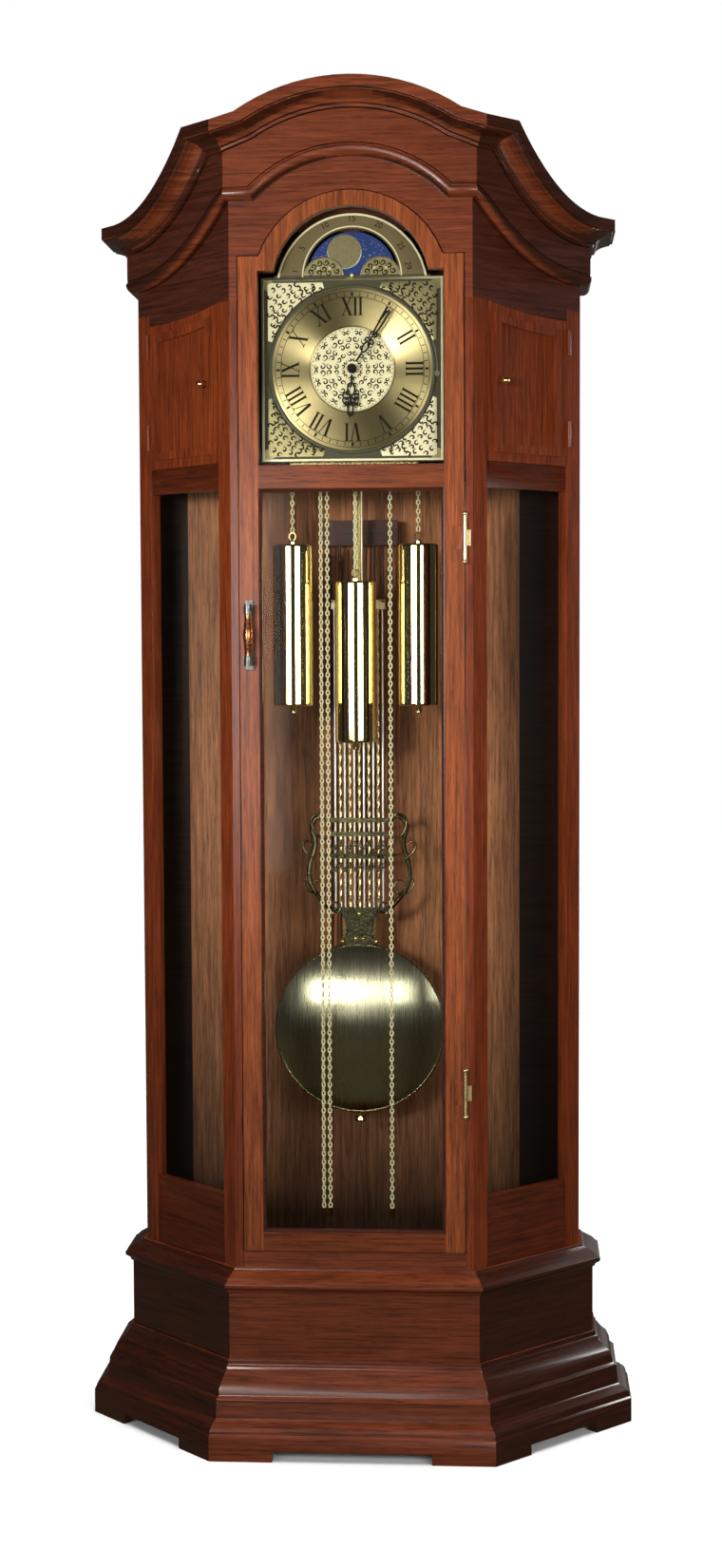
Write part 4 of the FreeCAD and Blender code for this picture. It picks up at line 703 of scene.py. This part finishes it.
def moon_arch():
    """Arch of the dial: bronze band between pale lines, lunar numbers, starry disc and engraved humps."""
    front = low("dial_plate")[1]
    top = np.array([DIAL[0], 0, high("moon_dial")[2] - half_width("moon_dial")])
    reach, drop = 116 * MM, 21 * MM
    inner, outer = 73 * MM, reach - 0.6 * MM
    sink = high("dial_plate")[2] - reach - top[2]

    def bow(radius, size, share):
        """Arc of a radius under the plate's top, between the points where a size meets the arch's foot."""
        foot = np.arcsin(drop / size)
        return polar(radius, foot + (math.pi - 2 * foot) * share) + np.array([0, sink])

    steps, layers = 61, 5
    turn = np.linspace(0, 1, steps)
    near, far = polar(inner, math.pi * turn)[:, None], bow(outer, outer, turn)[:, None]
    band = on_dial(near + (far - near) * np.linspace(0, 1, layers)[:, None], front - 1.25 * MM, top)
    back = band[:, ::-1] + mm(0, 1.2, 0)
    piece("arch_band", np.concatenate([band, back], 1), quads(steps, 2 * layers, wrap_cols=True), BAND, *GILT)
    fine = np.linspace(0, 1, 90)
    sky = polar(inner + 2.4 * MM, math.pi * fine)
    rim = bow(reach - 1.6 * MM, reach, fine)
    wires("sky_edge", on_dial(sky[None], front - 1.5 * MM, top), 1.0 * MM, 6, IVORY, *GILT, flatten=0.6)
    wires("arch_edge", on_dial(rim[None], front - 1.6 * MM, top), 1.6 * MM, 6, IVORY, *GILT, flatten=0.6)
    wide, tall = 119 * MM, 2.2 * MM
    plates("arch_foot", [[(-wide, 0), (wide, 0), (wide, tall), (-wide, tall)]], front - 1.6 * MM, front, top,
           GROUND, *GILT)
    hump = polar(29.5 * MM, np.linspace(0.02, math.pi - 0.02, 60))[None]
    aim = np.radians([24, 52, 80, 108, 136, 160, 40, 90, 140])
    away = mm(22, 22, 22, 22, 22, 22, 10, 12, 10)
    scrolls = curls(polar(away, aim), 5.2 * MM, aim + 1.5, 1.3)
    dots = mm([(-9, 13)], [(9, 13)]) + polar(2.2 * MM, around(8))
    for word, side in SIDES:
        mid = top + np.array([side * 43 * MM, 0, 0])
        plates("hump_" + word, hump, front - 0.5 * MM, front + 0.4 * MM, mid, OLIVE, *GILT)
        wires("hump_rim_" + word, on_dial(hump, front - 0.5 * MM, mid), 0.9 * MM, 5, PALE, *GILT)
        engraving("hump_engraving_" + word, scrolls, front - 0.6 * MM, mid, 1.15 * MM)
        plates("hump_dots_" + word, dots, front - 1.2 * MM, front - 0.3 * MM, mid, IVORY, *GILT)
    days = (("1", 174), ("5", 150), ("10", 118), ("15", 90), ("20", 62), ("25", 31), ("29", 10))
    for day, degrees in days:
        turn = math.radians(degrees)
        spot = on_dial(polar(87 * MM, turn), front - 1.4 * MM, top)
        lettering("lunar_" + day, day, 9 * MM, spot, turn - math.pi / 2)
    stars(top)
    turned("dial_stop_boss", mm(0, 2.2, 3.6, 4.2, 4.2, 0), mm(-3.6, -3.2, -1.9, 0, 1, 1),
           (top[0], front - 1.2 * MM, top[2] + 2 * MM), PALE, *GILT, "y", 24)


def lettering(name, word, tall, spot, turn):
    """Small number as a flat mesh, turned about its middle and set upright on the dial."""
    curve = bpy.data.curves.new(name, "FONT")
    curve.body = word
    curve.size = tall * 1.4
    curve.align_x = "CENTER"
    curve.align_y = "CENTER"
    curve.extrude = 0.1 * MM
    holder = placed(name + "_text", curve)
    bpy.context.view_layer.update()
    mesh = bpy.data.meshes.new_from_object(holder.evaluated_get(bpy.context.evaluated_depsgraph_get()))
    bpy.data.objects.remove(holder)
    upright = Matrix.Rotation(math.pi / 2, 4, "X") @ Matrix.Rotation(turn, 4, "Z")
    mesh.transform(Matrix.Translation(spot) @ upright)
    return finished(name, mesh, *ENGRAVED)


def stars(top):
    """Moon disc dressing: two moons set opposite on the turning disc and a scatter of five-sided stars."""
    face = low("moon_dial")[1]
    random = np.random.default_rng(7)
    count = 420
    away = half_width("moon_dial") * np.sqrt(random.uniform(0.12, 0.9, count))
    aim = random.uniform(0, TAU, count)
    size = random.uniform(0.2, 0.6, count) * MM
    shapes = polar(away, aim)[:, None] + size[:, None, None] * clockwise(0, 1, around(5))
    plates("sky_stars", shapes, face - 0.12 * MM, face + 0.05 * MM, top, IVORY, "moon", "dial_gold")
    orbit, radius = 40 * MM, 26 * MM
    dome = np.array([0, 0.35, 0.7, 0.93, 1.0, 1.0, 0]) * radius
    depth = mm(-0.5, -0.48, -0.42, -0.3, -0.12, 0.1, 0.1)
    rim = polar(radius - 0.4 * MM, around(48))[None]
    for name, degrees in (("moon_showing", 107), ("moon_hidden", 287)):
        spot = on_dial(polar(orbit, math.radians(degrees)), face, top)
        turned(name, dome, depth, spot, GRAINED, "moon", "moon_blue", "y")
        edge = on_dial(rim, face - 0.1 * MM, spot)
        wires(name + "_rim", edge, 0.6 * MM, 5, PALE, "moon", "dial_gold", closed=True)


def laid(across, out, degrees, depth):
    """Points across and along a hand, in millimetres, turned to its angle and set at its depth."""
    return on_dial(clockwise(across, out, math.radians(degrees)) * MM, depth, DIAL)


def hand_shapes():
    """Pierced hands: loops, stems and scrolls as flat wires along each hand's line, turned to its hour."""
    # Each hand has its body, its angle, then in millimetres its stems from, to and thick,
    # its loops by middle, half length and half width, and its scrolls by height and size
    hands = (
        ("minute", "centre_arbor", 33.5, ((12, 30, 1.6), (46, 60, 1.2), (102, 116, 1.0)),
         ((38, 8.5, 4.2), (81, 21.5, 3.0)), ((48, 4.5), (60, 3.5))),
        ("hour", "hour_pipe", 182.8, ((9, 22, 1.8), (44, 54, 1.4), (70, 78, 1.0)),
         ((31, 9.5, 5.5), (61, 9.5, 4.0)), ((40, 7.5), (47, 7.5), (52, 5.0))))
    steps = 8
    oval = around(28)
    for word, body, degrees, stems, loops, scrolls in hands:
        node = word + "_hand"
        depth = middle(node)[1]
        kit = (BLACK, body, "hand_black")
        start, end, thick = np.array(stems).T
        thick = np.repeat(thick[:, None] * MM, steps, 1)
        thick[-1] *= np.linspace(1, 0.1, steps)
        mid, long, aside = np.array(loops).T[..., None]
        twirl = np.concatenate([curls([[side * size, up]], size, math.pi * (side > 0), -1.1 * side)
                                for up, size in scrolls for side in (-1, 1)])
        stem = laid(0, np.linspace(start, end, steps, axis=1), degrees, depth)
        built = wires(node + "_stem", stem, thick, 6, *kit, flatten=0.5)
        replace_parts(built, node)
        eyes = laid(aside * np.sin(oval), mid + long * np.cos(oval), degrees, depth)
        wires(node + "_loops", eyes, 1.35 * MM, 6, *kit, True, 0.6)
        leaves = laid(twirl[..., 0], twirl[..., 1], degrees, depth)
        wires(node + "_scrolls", leaves, 1.3 * MM, 5, *kit, flatten=0.6)
        turned(node + "_boss", mm(2.2, 2.2, 6.5, 7.2, 7.2, 2.2), mm(0.8, -0.9, -0.9, -0.3, 0.8, 0.8),
               (DIAL[0], depth, DIAL[2]), *kit, "y", 32)
    turned("hand_nut", mm(0, 2.6, 3.6, 4.0, 4.0, 0), mm(-2.4, -2.2, -1.2, 0, 2.4, 2.4),
           (DIAL[0], low("centre_wheel")[1], DIAL[2]), BLACK, "centre_arbor", "hand_black", "y", 24)


# Chains, weights and pendulum
PITCH = 6.85 * MM


def links(name, spots, leads, body, twist=0.0):
    """Chain: each link is an ellipse about its spot, long along the run, every second a quarter turn on."""
    half_wide, half_long, thick = 2.6 * MM, 4.1 * MM, 1.1 * MM
    t = around(8)[None, :, None]
    face = np.array([0.0, 1.0, 0.0])
    turn = twist + math.pi / 2 * (np.arange(len(spots)) % 2)[:, None]
    wide = np.cos(turn) * np.cross(leads, face) + np.sin(turn) * face
    oval = half_wide * np.cos(t) * wide[:, None] + half_long * np.sin(t) * leads[:, None]
    return wires(name, spots[:, None] + oval, thick, 4, CHAIN, body, "chain_brass", closed=True)


def chains():
    """Three chains: hanging strand to the weight, half turn over the sprocket, free strand to its ring."""
    for word in STRANDS:
        for strand, body in (("weight_", "weight_"), ("free_", "free_end_")):
            node = "chain_" + strand + word
            x, y, _ = middle(node)
            foot, head = low(node)[2], high(node)[2]
            count = int((head - foot) / PITCH)
            rise = foot + (np.arange(count) + 0.5) * (head - foot) / count
            spots = points_at(x, y, rise)
            twist = 0.35 if strand + word == "free_left" else 0.0
            obj = links("links_" + strand + word, spots, np.repeat([[0.0, 0.0, 1.0]], count, 0), None, twist)
            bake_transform(obj)
            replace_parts(obj, node)
        free, hung = middle("chain_free_" + word), middle("chain_weight_" + word)
        radius = abs(free[0] - hung[0]) / 2
        count = int(math.pi * radius / PITCH)
        turn = (np.arange(count) + 0.5) * math.pi / count
        centre = ((free[0] + hung[0]) / 2, 0, high("chain_free_" + word)[2])
        leads = points_at(-np.sin(turn), 0, np.cos(turn))
        links("links_over_" + word, on_dial(polar(radius, turn), free[1], centre), leads, "case")


def weights():
    """Brass weight shells: straight tube with rounded rims, dished caps, a hook above and a nut below."""
    for word in STRANDS:
        node = "weight_" + word
        x, y, _ = middle(node)
        foot, radius = low(node)[2], half_width(node)
        base, top = foot + 12 * MM, high(node)[2] - 20 * MM
        bend = np.linspace(0, math.pi / 2, 5)
        rim = 2.0 * MM
        edge, rise = (polar(rim, bend) + np.array([radius - rim, top - rim])).T
        lip, dish = radius - 3.5 * MM, radius - 5 * MM
        r = np.concatenate([mm(0, 4, 5.5, 5.5, 6.5), [dish, lip], edge[::-1],
                            [radius, radius], edge, [lip, dish], mm(6, 6, 3, 0)])
        z = np.concatenate([foot + mm(0, 0, 2), base + mm(-3, 0, 0, 0), (base + top - rise)[::-1],
                            [base + 2 * rim, top - 2 * rim], rise, top + mm(0, -1.5, -1.5, 5, 7, 7)])
        obj = turned("weight_shell_" + word, r[::-1], z[::-1], (x, y, 0), MIRROR, node, "polished_brass",
                     count=64)
        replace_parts(obj, node)
        t = np.linspace(-0.6, math.pi * 1.35, 24)
        bow = points_at(5.0 * MM * np.cos(t), 13.5 * MM + 5.5 * MM * np.sin(t))
        hook = on_dial(np.concatenate([mm((0, 4), (4, 10)), bow]), y, (x, 0, top))
        wires("weight_hook_" + word, hook[None], 1.4 * MM, 6, POLISHED, node, "polished_brass")


def pendulum():
    """Pendulum: rows of plain and twisted rods, their hooks, head plate and leader, then its lyre and bob."""
    lo, hi = low("grid_rods"), high("grid_rods")
    y = middle("grid_rods")[1]
    rods = (half_width("grid_rods") - 2.4 * MM) * (np.arange(11) - 5) / 5
    steps, sides, twist = 240, 10, 18 * MM
    height = np.linspace(lo[2], hi[2], steps)[:, None]
    turn = around(sides)[None, :]
    for name, first, swell, finish in (("plain", 0, 0.0, SILVER), ("twisted", 1, 0.38, GOLD)):
        radius = 2.0 * MM * (1 + swell * np.cos(2 * (turn - math.pi * height / twist)))
        across, deep = radius * np.cos(turn), radius * np.sin(turn)
        bundle = [points_at(x + across, y + deep, height) for x in rods[first::2]]
        faces = repeated(quads(steps, sides, wrap_cols=True), len(bundle), steps * sides)
        obj = piece("gridiron_" + name, np.stack(bundle), faces, finish, *SWINGING, 60)
        if not first:
            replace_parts(obj, "grid_rods")
    bend = np.linspace(0, math.pi * 1.1, 12)
    hooks = [on_dial(3 * MM * points_at(np.sign(x) * (1 - np.cos(bend)), -np.sin(bend)), y - 3 * MM,
                     (x, 0, lo[2] - 7 * MM)) for x in rods[::2]]
    wires("rod_hooks", hooks, 1.2 * MM, 6, SILVER, *SWINGING)
    head = mm((-43, 0), (43, 0), (43, 10), (30, 15), (-30, 15), (-43, 10))
    plates("gridiron_head", [head], y - 6 * MM, y + 6 * MM, (0, 0, hi[2] - 1 * MM), PALE, *SWINGING, 0.8 * MM)
    rise = np.append(hi[2] + mm(8, 16, 40), high("pendulum_rod")[2] - 4 * MM)
    edges = [smooth_path(points_at(side * mm(12, 9, 6, 6), y - 1 * MM, rise), 24) for side in (-1, 1)]
    wires("leader_edges", edges, 1.1 * MM, 6, PALE, *SWINGING)
    lyre_work(y, lo[2])
    bob_dome()


def lyre_work(y, base):
    """Scrollwork of the lyre: smooth strokes mirrored about the middle, rows of curls, waisted neck plate."""
    depth, foot_spot = y - 6 * MM, (0, 0, base)
    # Points of each scroll on the right, across from the middle and up from the rods' feet
    scrolls = (((48, 132), (60, 150), (76, 141), (70, 118), (54, 108), (46, 96), (56, 84), (70, 88)),
               ((80, 52), (88, 40), (80, 26), (64, 22), (56, 34), (64, 44), (74, 40)),
               ((64, 16), (52, 2), (38, -8), (30, -2), (36, 8), (46, 6)),
               ((72, 78), (84, 86), (90, 98), (84, 106), (76, 100)))
    steps = 36
    strokes = np.array([smooth_path(np.array(knots) * np.array([side, 1]), steps) * MM
                        for side in (-1, 1) for knots in scrolls])
    taper = 2.1 * MM * np.sin(np.linspace(0.35, 2.9, steps))
    wires("lyre_scrolls_inner", on_dial(strokes, depth, foot_spot), taper[None, :], 8, BRONZE, *SWINGING)
    rows = []
    for up, count in ((99, 8), (86, 10), (64, 10)):
        lean = np.where(np.arange(count) % 2, 1.0, -1.0)
        rows.append(curls(points_at(np.linspace(-40, 40, count), up + 2.5 * lean), 5.0, 1.0, 1.3 * lean))
    rows = np.concatenate(rows) * MM
    wires("cross_bar_scrolls", on_dial(rows, depth - 3 * MM, foot_spot), 1.3 * MM, 6, BRONZE, *SWINGING)
    bob_top = high("bob")[2]
    foot = low("grid_bars")[2] + 2 * MM
    tall = foot - bob_top + 4 * MM
    waist = np.linspace(0, 1, 9)
    right = points_at((30 - 9 * np.sin(math.pi * waist)) * MM, -tall * waist)
    outline = np.concatenate([right, right[::-1] * np.array([-1, 1])])
    plates("neck_plate", [outline], y - 7 * MM, y - 3.2 * MM, (0, 0, foot + 2 * MM), BRONZE, *SWINGING,
           0.8 * MM)
    knobs = ((-6, 8, 3.4), (6, 8, 3.4), (-27, 3, 4.2), (27, 3, 4.2), (0, tall / MM - 4, 4.0))
    for i, (across, up, size) in enumerate(knobs):
        spot = (across * MM, y - 9 * MM, bob_top + up * MM)
        knob("neck_knob_%d" % i, size * MM, spot, "pendulum", 9, 14)


def bob_dome():
    """Bob brushed upright: a cap with the height of a sphere over its rim, a rounded lip and a flat back."""
    centre, rear = middle("bob"), high("bob")[1]
    big, bulge, count = half_width("bob"), 28 * MM, 120
    rim = rear - 10 * MM
    ball = (big ** 2 + bulge ** 2) / (2 * bulge)
    r = np.linspace(0, 0.975, 30) * big
    dome = rim - (np.sqrt(ball ** 2 - r ** 2) - (ball - bulge))
    r = np.concatenate([r, big + mm(-3, -1, 0, 0, -2), [0]])
    along_axis = np.concatenate([dome, rim + mm(-2.4, -0.8, 2), rear + mm(-2, 0, 0)])
    points = turned_points(r, along_axis, count, (centre[0], 0, centre[2]), "y")
    obj = piece("bob_dome", points, quads(len(r), count, wrap_cols=True)[:, ::-1], BOB, *SWINGING, 40)
    unwrap(obj, lambda p: (0.5 + (p[:, 0] - centre[0]) / (2 * big), 0.5 + (p[:, 2] - centre[2]) / (2 * big)))
    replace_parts(obj, "bob")


# Handle, knobs and bead
def outermost(node, way):
    """Point of a node that reaches furthest along a direction: the middle of its last millimetre."""
    place = places(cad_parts[node].data)
    far = place @ way
    return place[far > far.max() - 1 * MM].mean(0)


def fittings():
    """Knobs of the access doors, swelling grip and leaf ends of the handle, bead round the lower window."""
    for word, side in SIDES:
        way = np.array([side, -1, 0]) / math.sqrt(2)
        spot = outermost("access_door_" + word, way) - 4.5 * MM * way
        knob("access_knob_" + word, 6 * MM, spot, "access_" + word, 11, 20)
    lo, hi, spot = low("door_handle"), high("door_handle"), middle("door_handle")
    tall = hi[2] - lo[2]
    up = np.linspace(-1, 1, 21)
    swell = (3.6 + 3.4 * np.cos(up * math.pi / 2) ** 2) * MM
    rise = np.concatenate([[-1], up, [1]]) * 0.29 * tall
    turned("handle_grip_turned", np.concatenate([[0], swell, [0]]), rise, (spot[0], lo[1] + 5 * MM, spot[2]),
           COPPER, "door", "old_brass", count=20)
    leaves = np.concatenate([
        curls([[side * out * MM, end * rise * tall]], size * MM, math.pi / 2 - side * 1.1, end * side * 1.1)
        for end in (-1, 1) for side in (-1, 1)
        for out, rise, size in ((4.5, 0.33, 5.0), (5.5, 0.41, 4.2), (3.0, 0.475, 3.2))])
    wires("handle_leaves", on_dial(leaves, hi[1] - 3.5 * MM, spot), 1.3 * MM, 6, PEWTER, "door", "old_brass")
    inward, deep = mm((0, 0.6), (1.5, 0.0), (4.5, 2.2), (5.0, 5.0), (5.0, 8.0), (0, 8.0)).T
    face = FRONT - 3 * MM
    edges = {-1: WINDOW_FOOT + inward, 1: WINDOW_HEAD - inward}
    bead = [points_at(across * (WINDOW_HALF - inward), face + deep, edges[upward])
            for across, upward in CORNERS]
    faces = quads(len(CORNERS), len(inward), True, True)[:, ::-1]
    # The bead takes the dark shaded wood copy: painted shade round the glass
    piece("glazing_bead", np.stack(bead), faces, SHADED_WOOD, "door", "wood_upright", 25)


dial_face()
medallion()
corner_plates()
moon_arch()
hand_shapes()
chains()
weights()
pendulum()
fittings()


# Stage, light and camera
def floor_sheet():
    """Flat square of pale floor under the clock."""
    half = 12.0
    mesh = bpy.data.meshes.new("floor")
    mesh.from_pydata([(half * x, half * y, 0) for x, y in CORNERS], [], [[0, 1, 2, 3]])
    floor = placed("floor", mesh)
    mesh.materials.append(paint("pale_floor", (0.90, 0.90, 0.895), (0.87, 0.87, 0.865), 0.7, 3))
    floor.visible_glossy = False
    floor.visible_diffuse = False


def light(name, kind, matt=True, gloss=True, **settings):
    """Light with its settings, that may be kept out of matt or of glossy surfaces."""
    source = bpy.data.lights.new(name, kind)
    for word, setting in settings.items():
        setattr(source, word, setting)
    obj = placed(name, source)
    obj.visible_diffuse = matt
    obj.visible_glossy = gloss
    return obj


def aimed(obj, spot, aim):
    """Light set at a spot and turned to a point, its right side level."""
    turn = Vector(np.subtract(aim, spot)).to_track_quat("-Z", "Y").to_matrix().to_4x4()
    obj.matrix_world = Matrix.Translation(spot) @ turn


def soft_box(name, power, width, height, spot, aim, matt=True, gloss=True):
    """Soft rectangular light aimed at a point."""
    obj = light(name, "AREA", matt, gloss, shape="RECTANGLE", size=width, size_y=height, energy=power)
    aimed(obj, spot, aim)


def room():
    """Even white surroundings: bright to the eye, dimmer as a light source, and warmer from below."""
    world = bpy.data.worlds.new("white_room")
    bpy.context.scene.world = world
    world.use_nodes = True
    tree = world.node_tree
    seen = added(tree, "Background", "Background", {"Color": (1, 1, 1, 1)})
    way = added(tree, "TexCoord", "Generated", {})
    below = span(tree, coordinate(tree, way, "Z"), 1.0, 0.0, -0.3, -0.06)
    glow = blended(tree, (0.04, 0.04, 0.04), (0.10, 0.085, 0.06), "MIX", below)
    lit = added(tree, "Background", "Background", {"Color": glow})
    eye = added(tree, "LightPath", "Is Camera Ray", {})
    mix = added(tree, "MixShader", "Shader", {"Fac": eye, 1: lit, 2: seen})
    feed(tree, tree.nodes["World Output"], {"Surface": mix})


def camera():
    """Camera a little right of the middle at the height of the chains, turned left and slightly down."""
    yaw, pitch, roll = 0.0659, -0.0579, -0.0043
    spot = (0.2368, FRONT - 3.3923, 1.2246)
    upright = Matrix.Rotation(yaw, 4, "Z") @ Matrix.Rotation(math.pi / 2 + pitch, 4, "X")
    lens = bpy.data.cameras.new("view")
    lens.lens = 51.27
    lens.sensor_width = 36.0
    obj = placed("view", lens)
    obj.matrix_world = Matrix.Translation(spot) @ upright @ Matrix.Rotation(roll, 4, "Z")
    bpy.context.scene.camera = obj


floor_sheet()
TRUNK = (0, 0, 1.2)
soft_box("left_box", 58, 1.05, 0.66, (-1.38, -2.86, 1.34), TRUNK, matt=False)
soft_box("left_fill", 38, 2.0, 0.72, (-1.73, -2.66, 1.32), TRUNK, gloss=False)
soft_box("right_box", 44, 1.5, 0.7, (1.6, -2.74, 1.33), TRUNK, matt=False)
soft_box("right_fill", 60, 2.0, 0.72, (1.73, -2.66, 1.32), TRUNK, gloss=False)
soft_box("glare_box", 9, 0.36, 1.3, (-0.62, FRONT - 3.5, 1.2), TRUNK)
# Small strong light that throws the shadows on the back board
key = light("key_light", "SPOT", gloss=False, energy=420, spot_size=math.radians(42), spot_blend=1.0,
            shadow_soft_size=0.22)
aimed(key, (-1.0, FRONT - 3.1, 1.55), (0, FRONT, 1.42))
soft_box("back_box", 110, 2.4, 1.4, (3.0, 3.2, 2.0), (0, 0, 1.1))
# Wide light from straight above that keeps the floor pale
light("overhead", "SUN", gloss=False, energy=3.8, angle=math.radians(60))
room()
camera()
bpy.context.scene.view_settings.view_transform = "Standard"
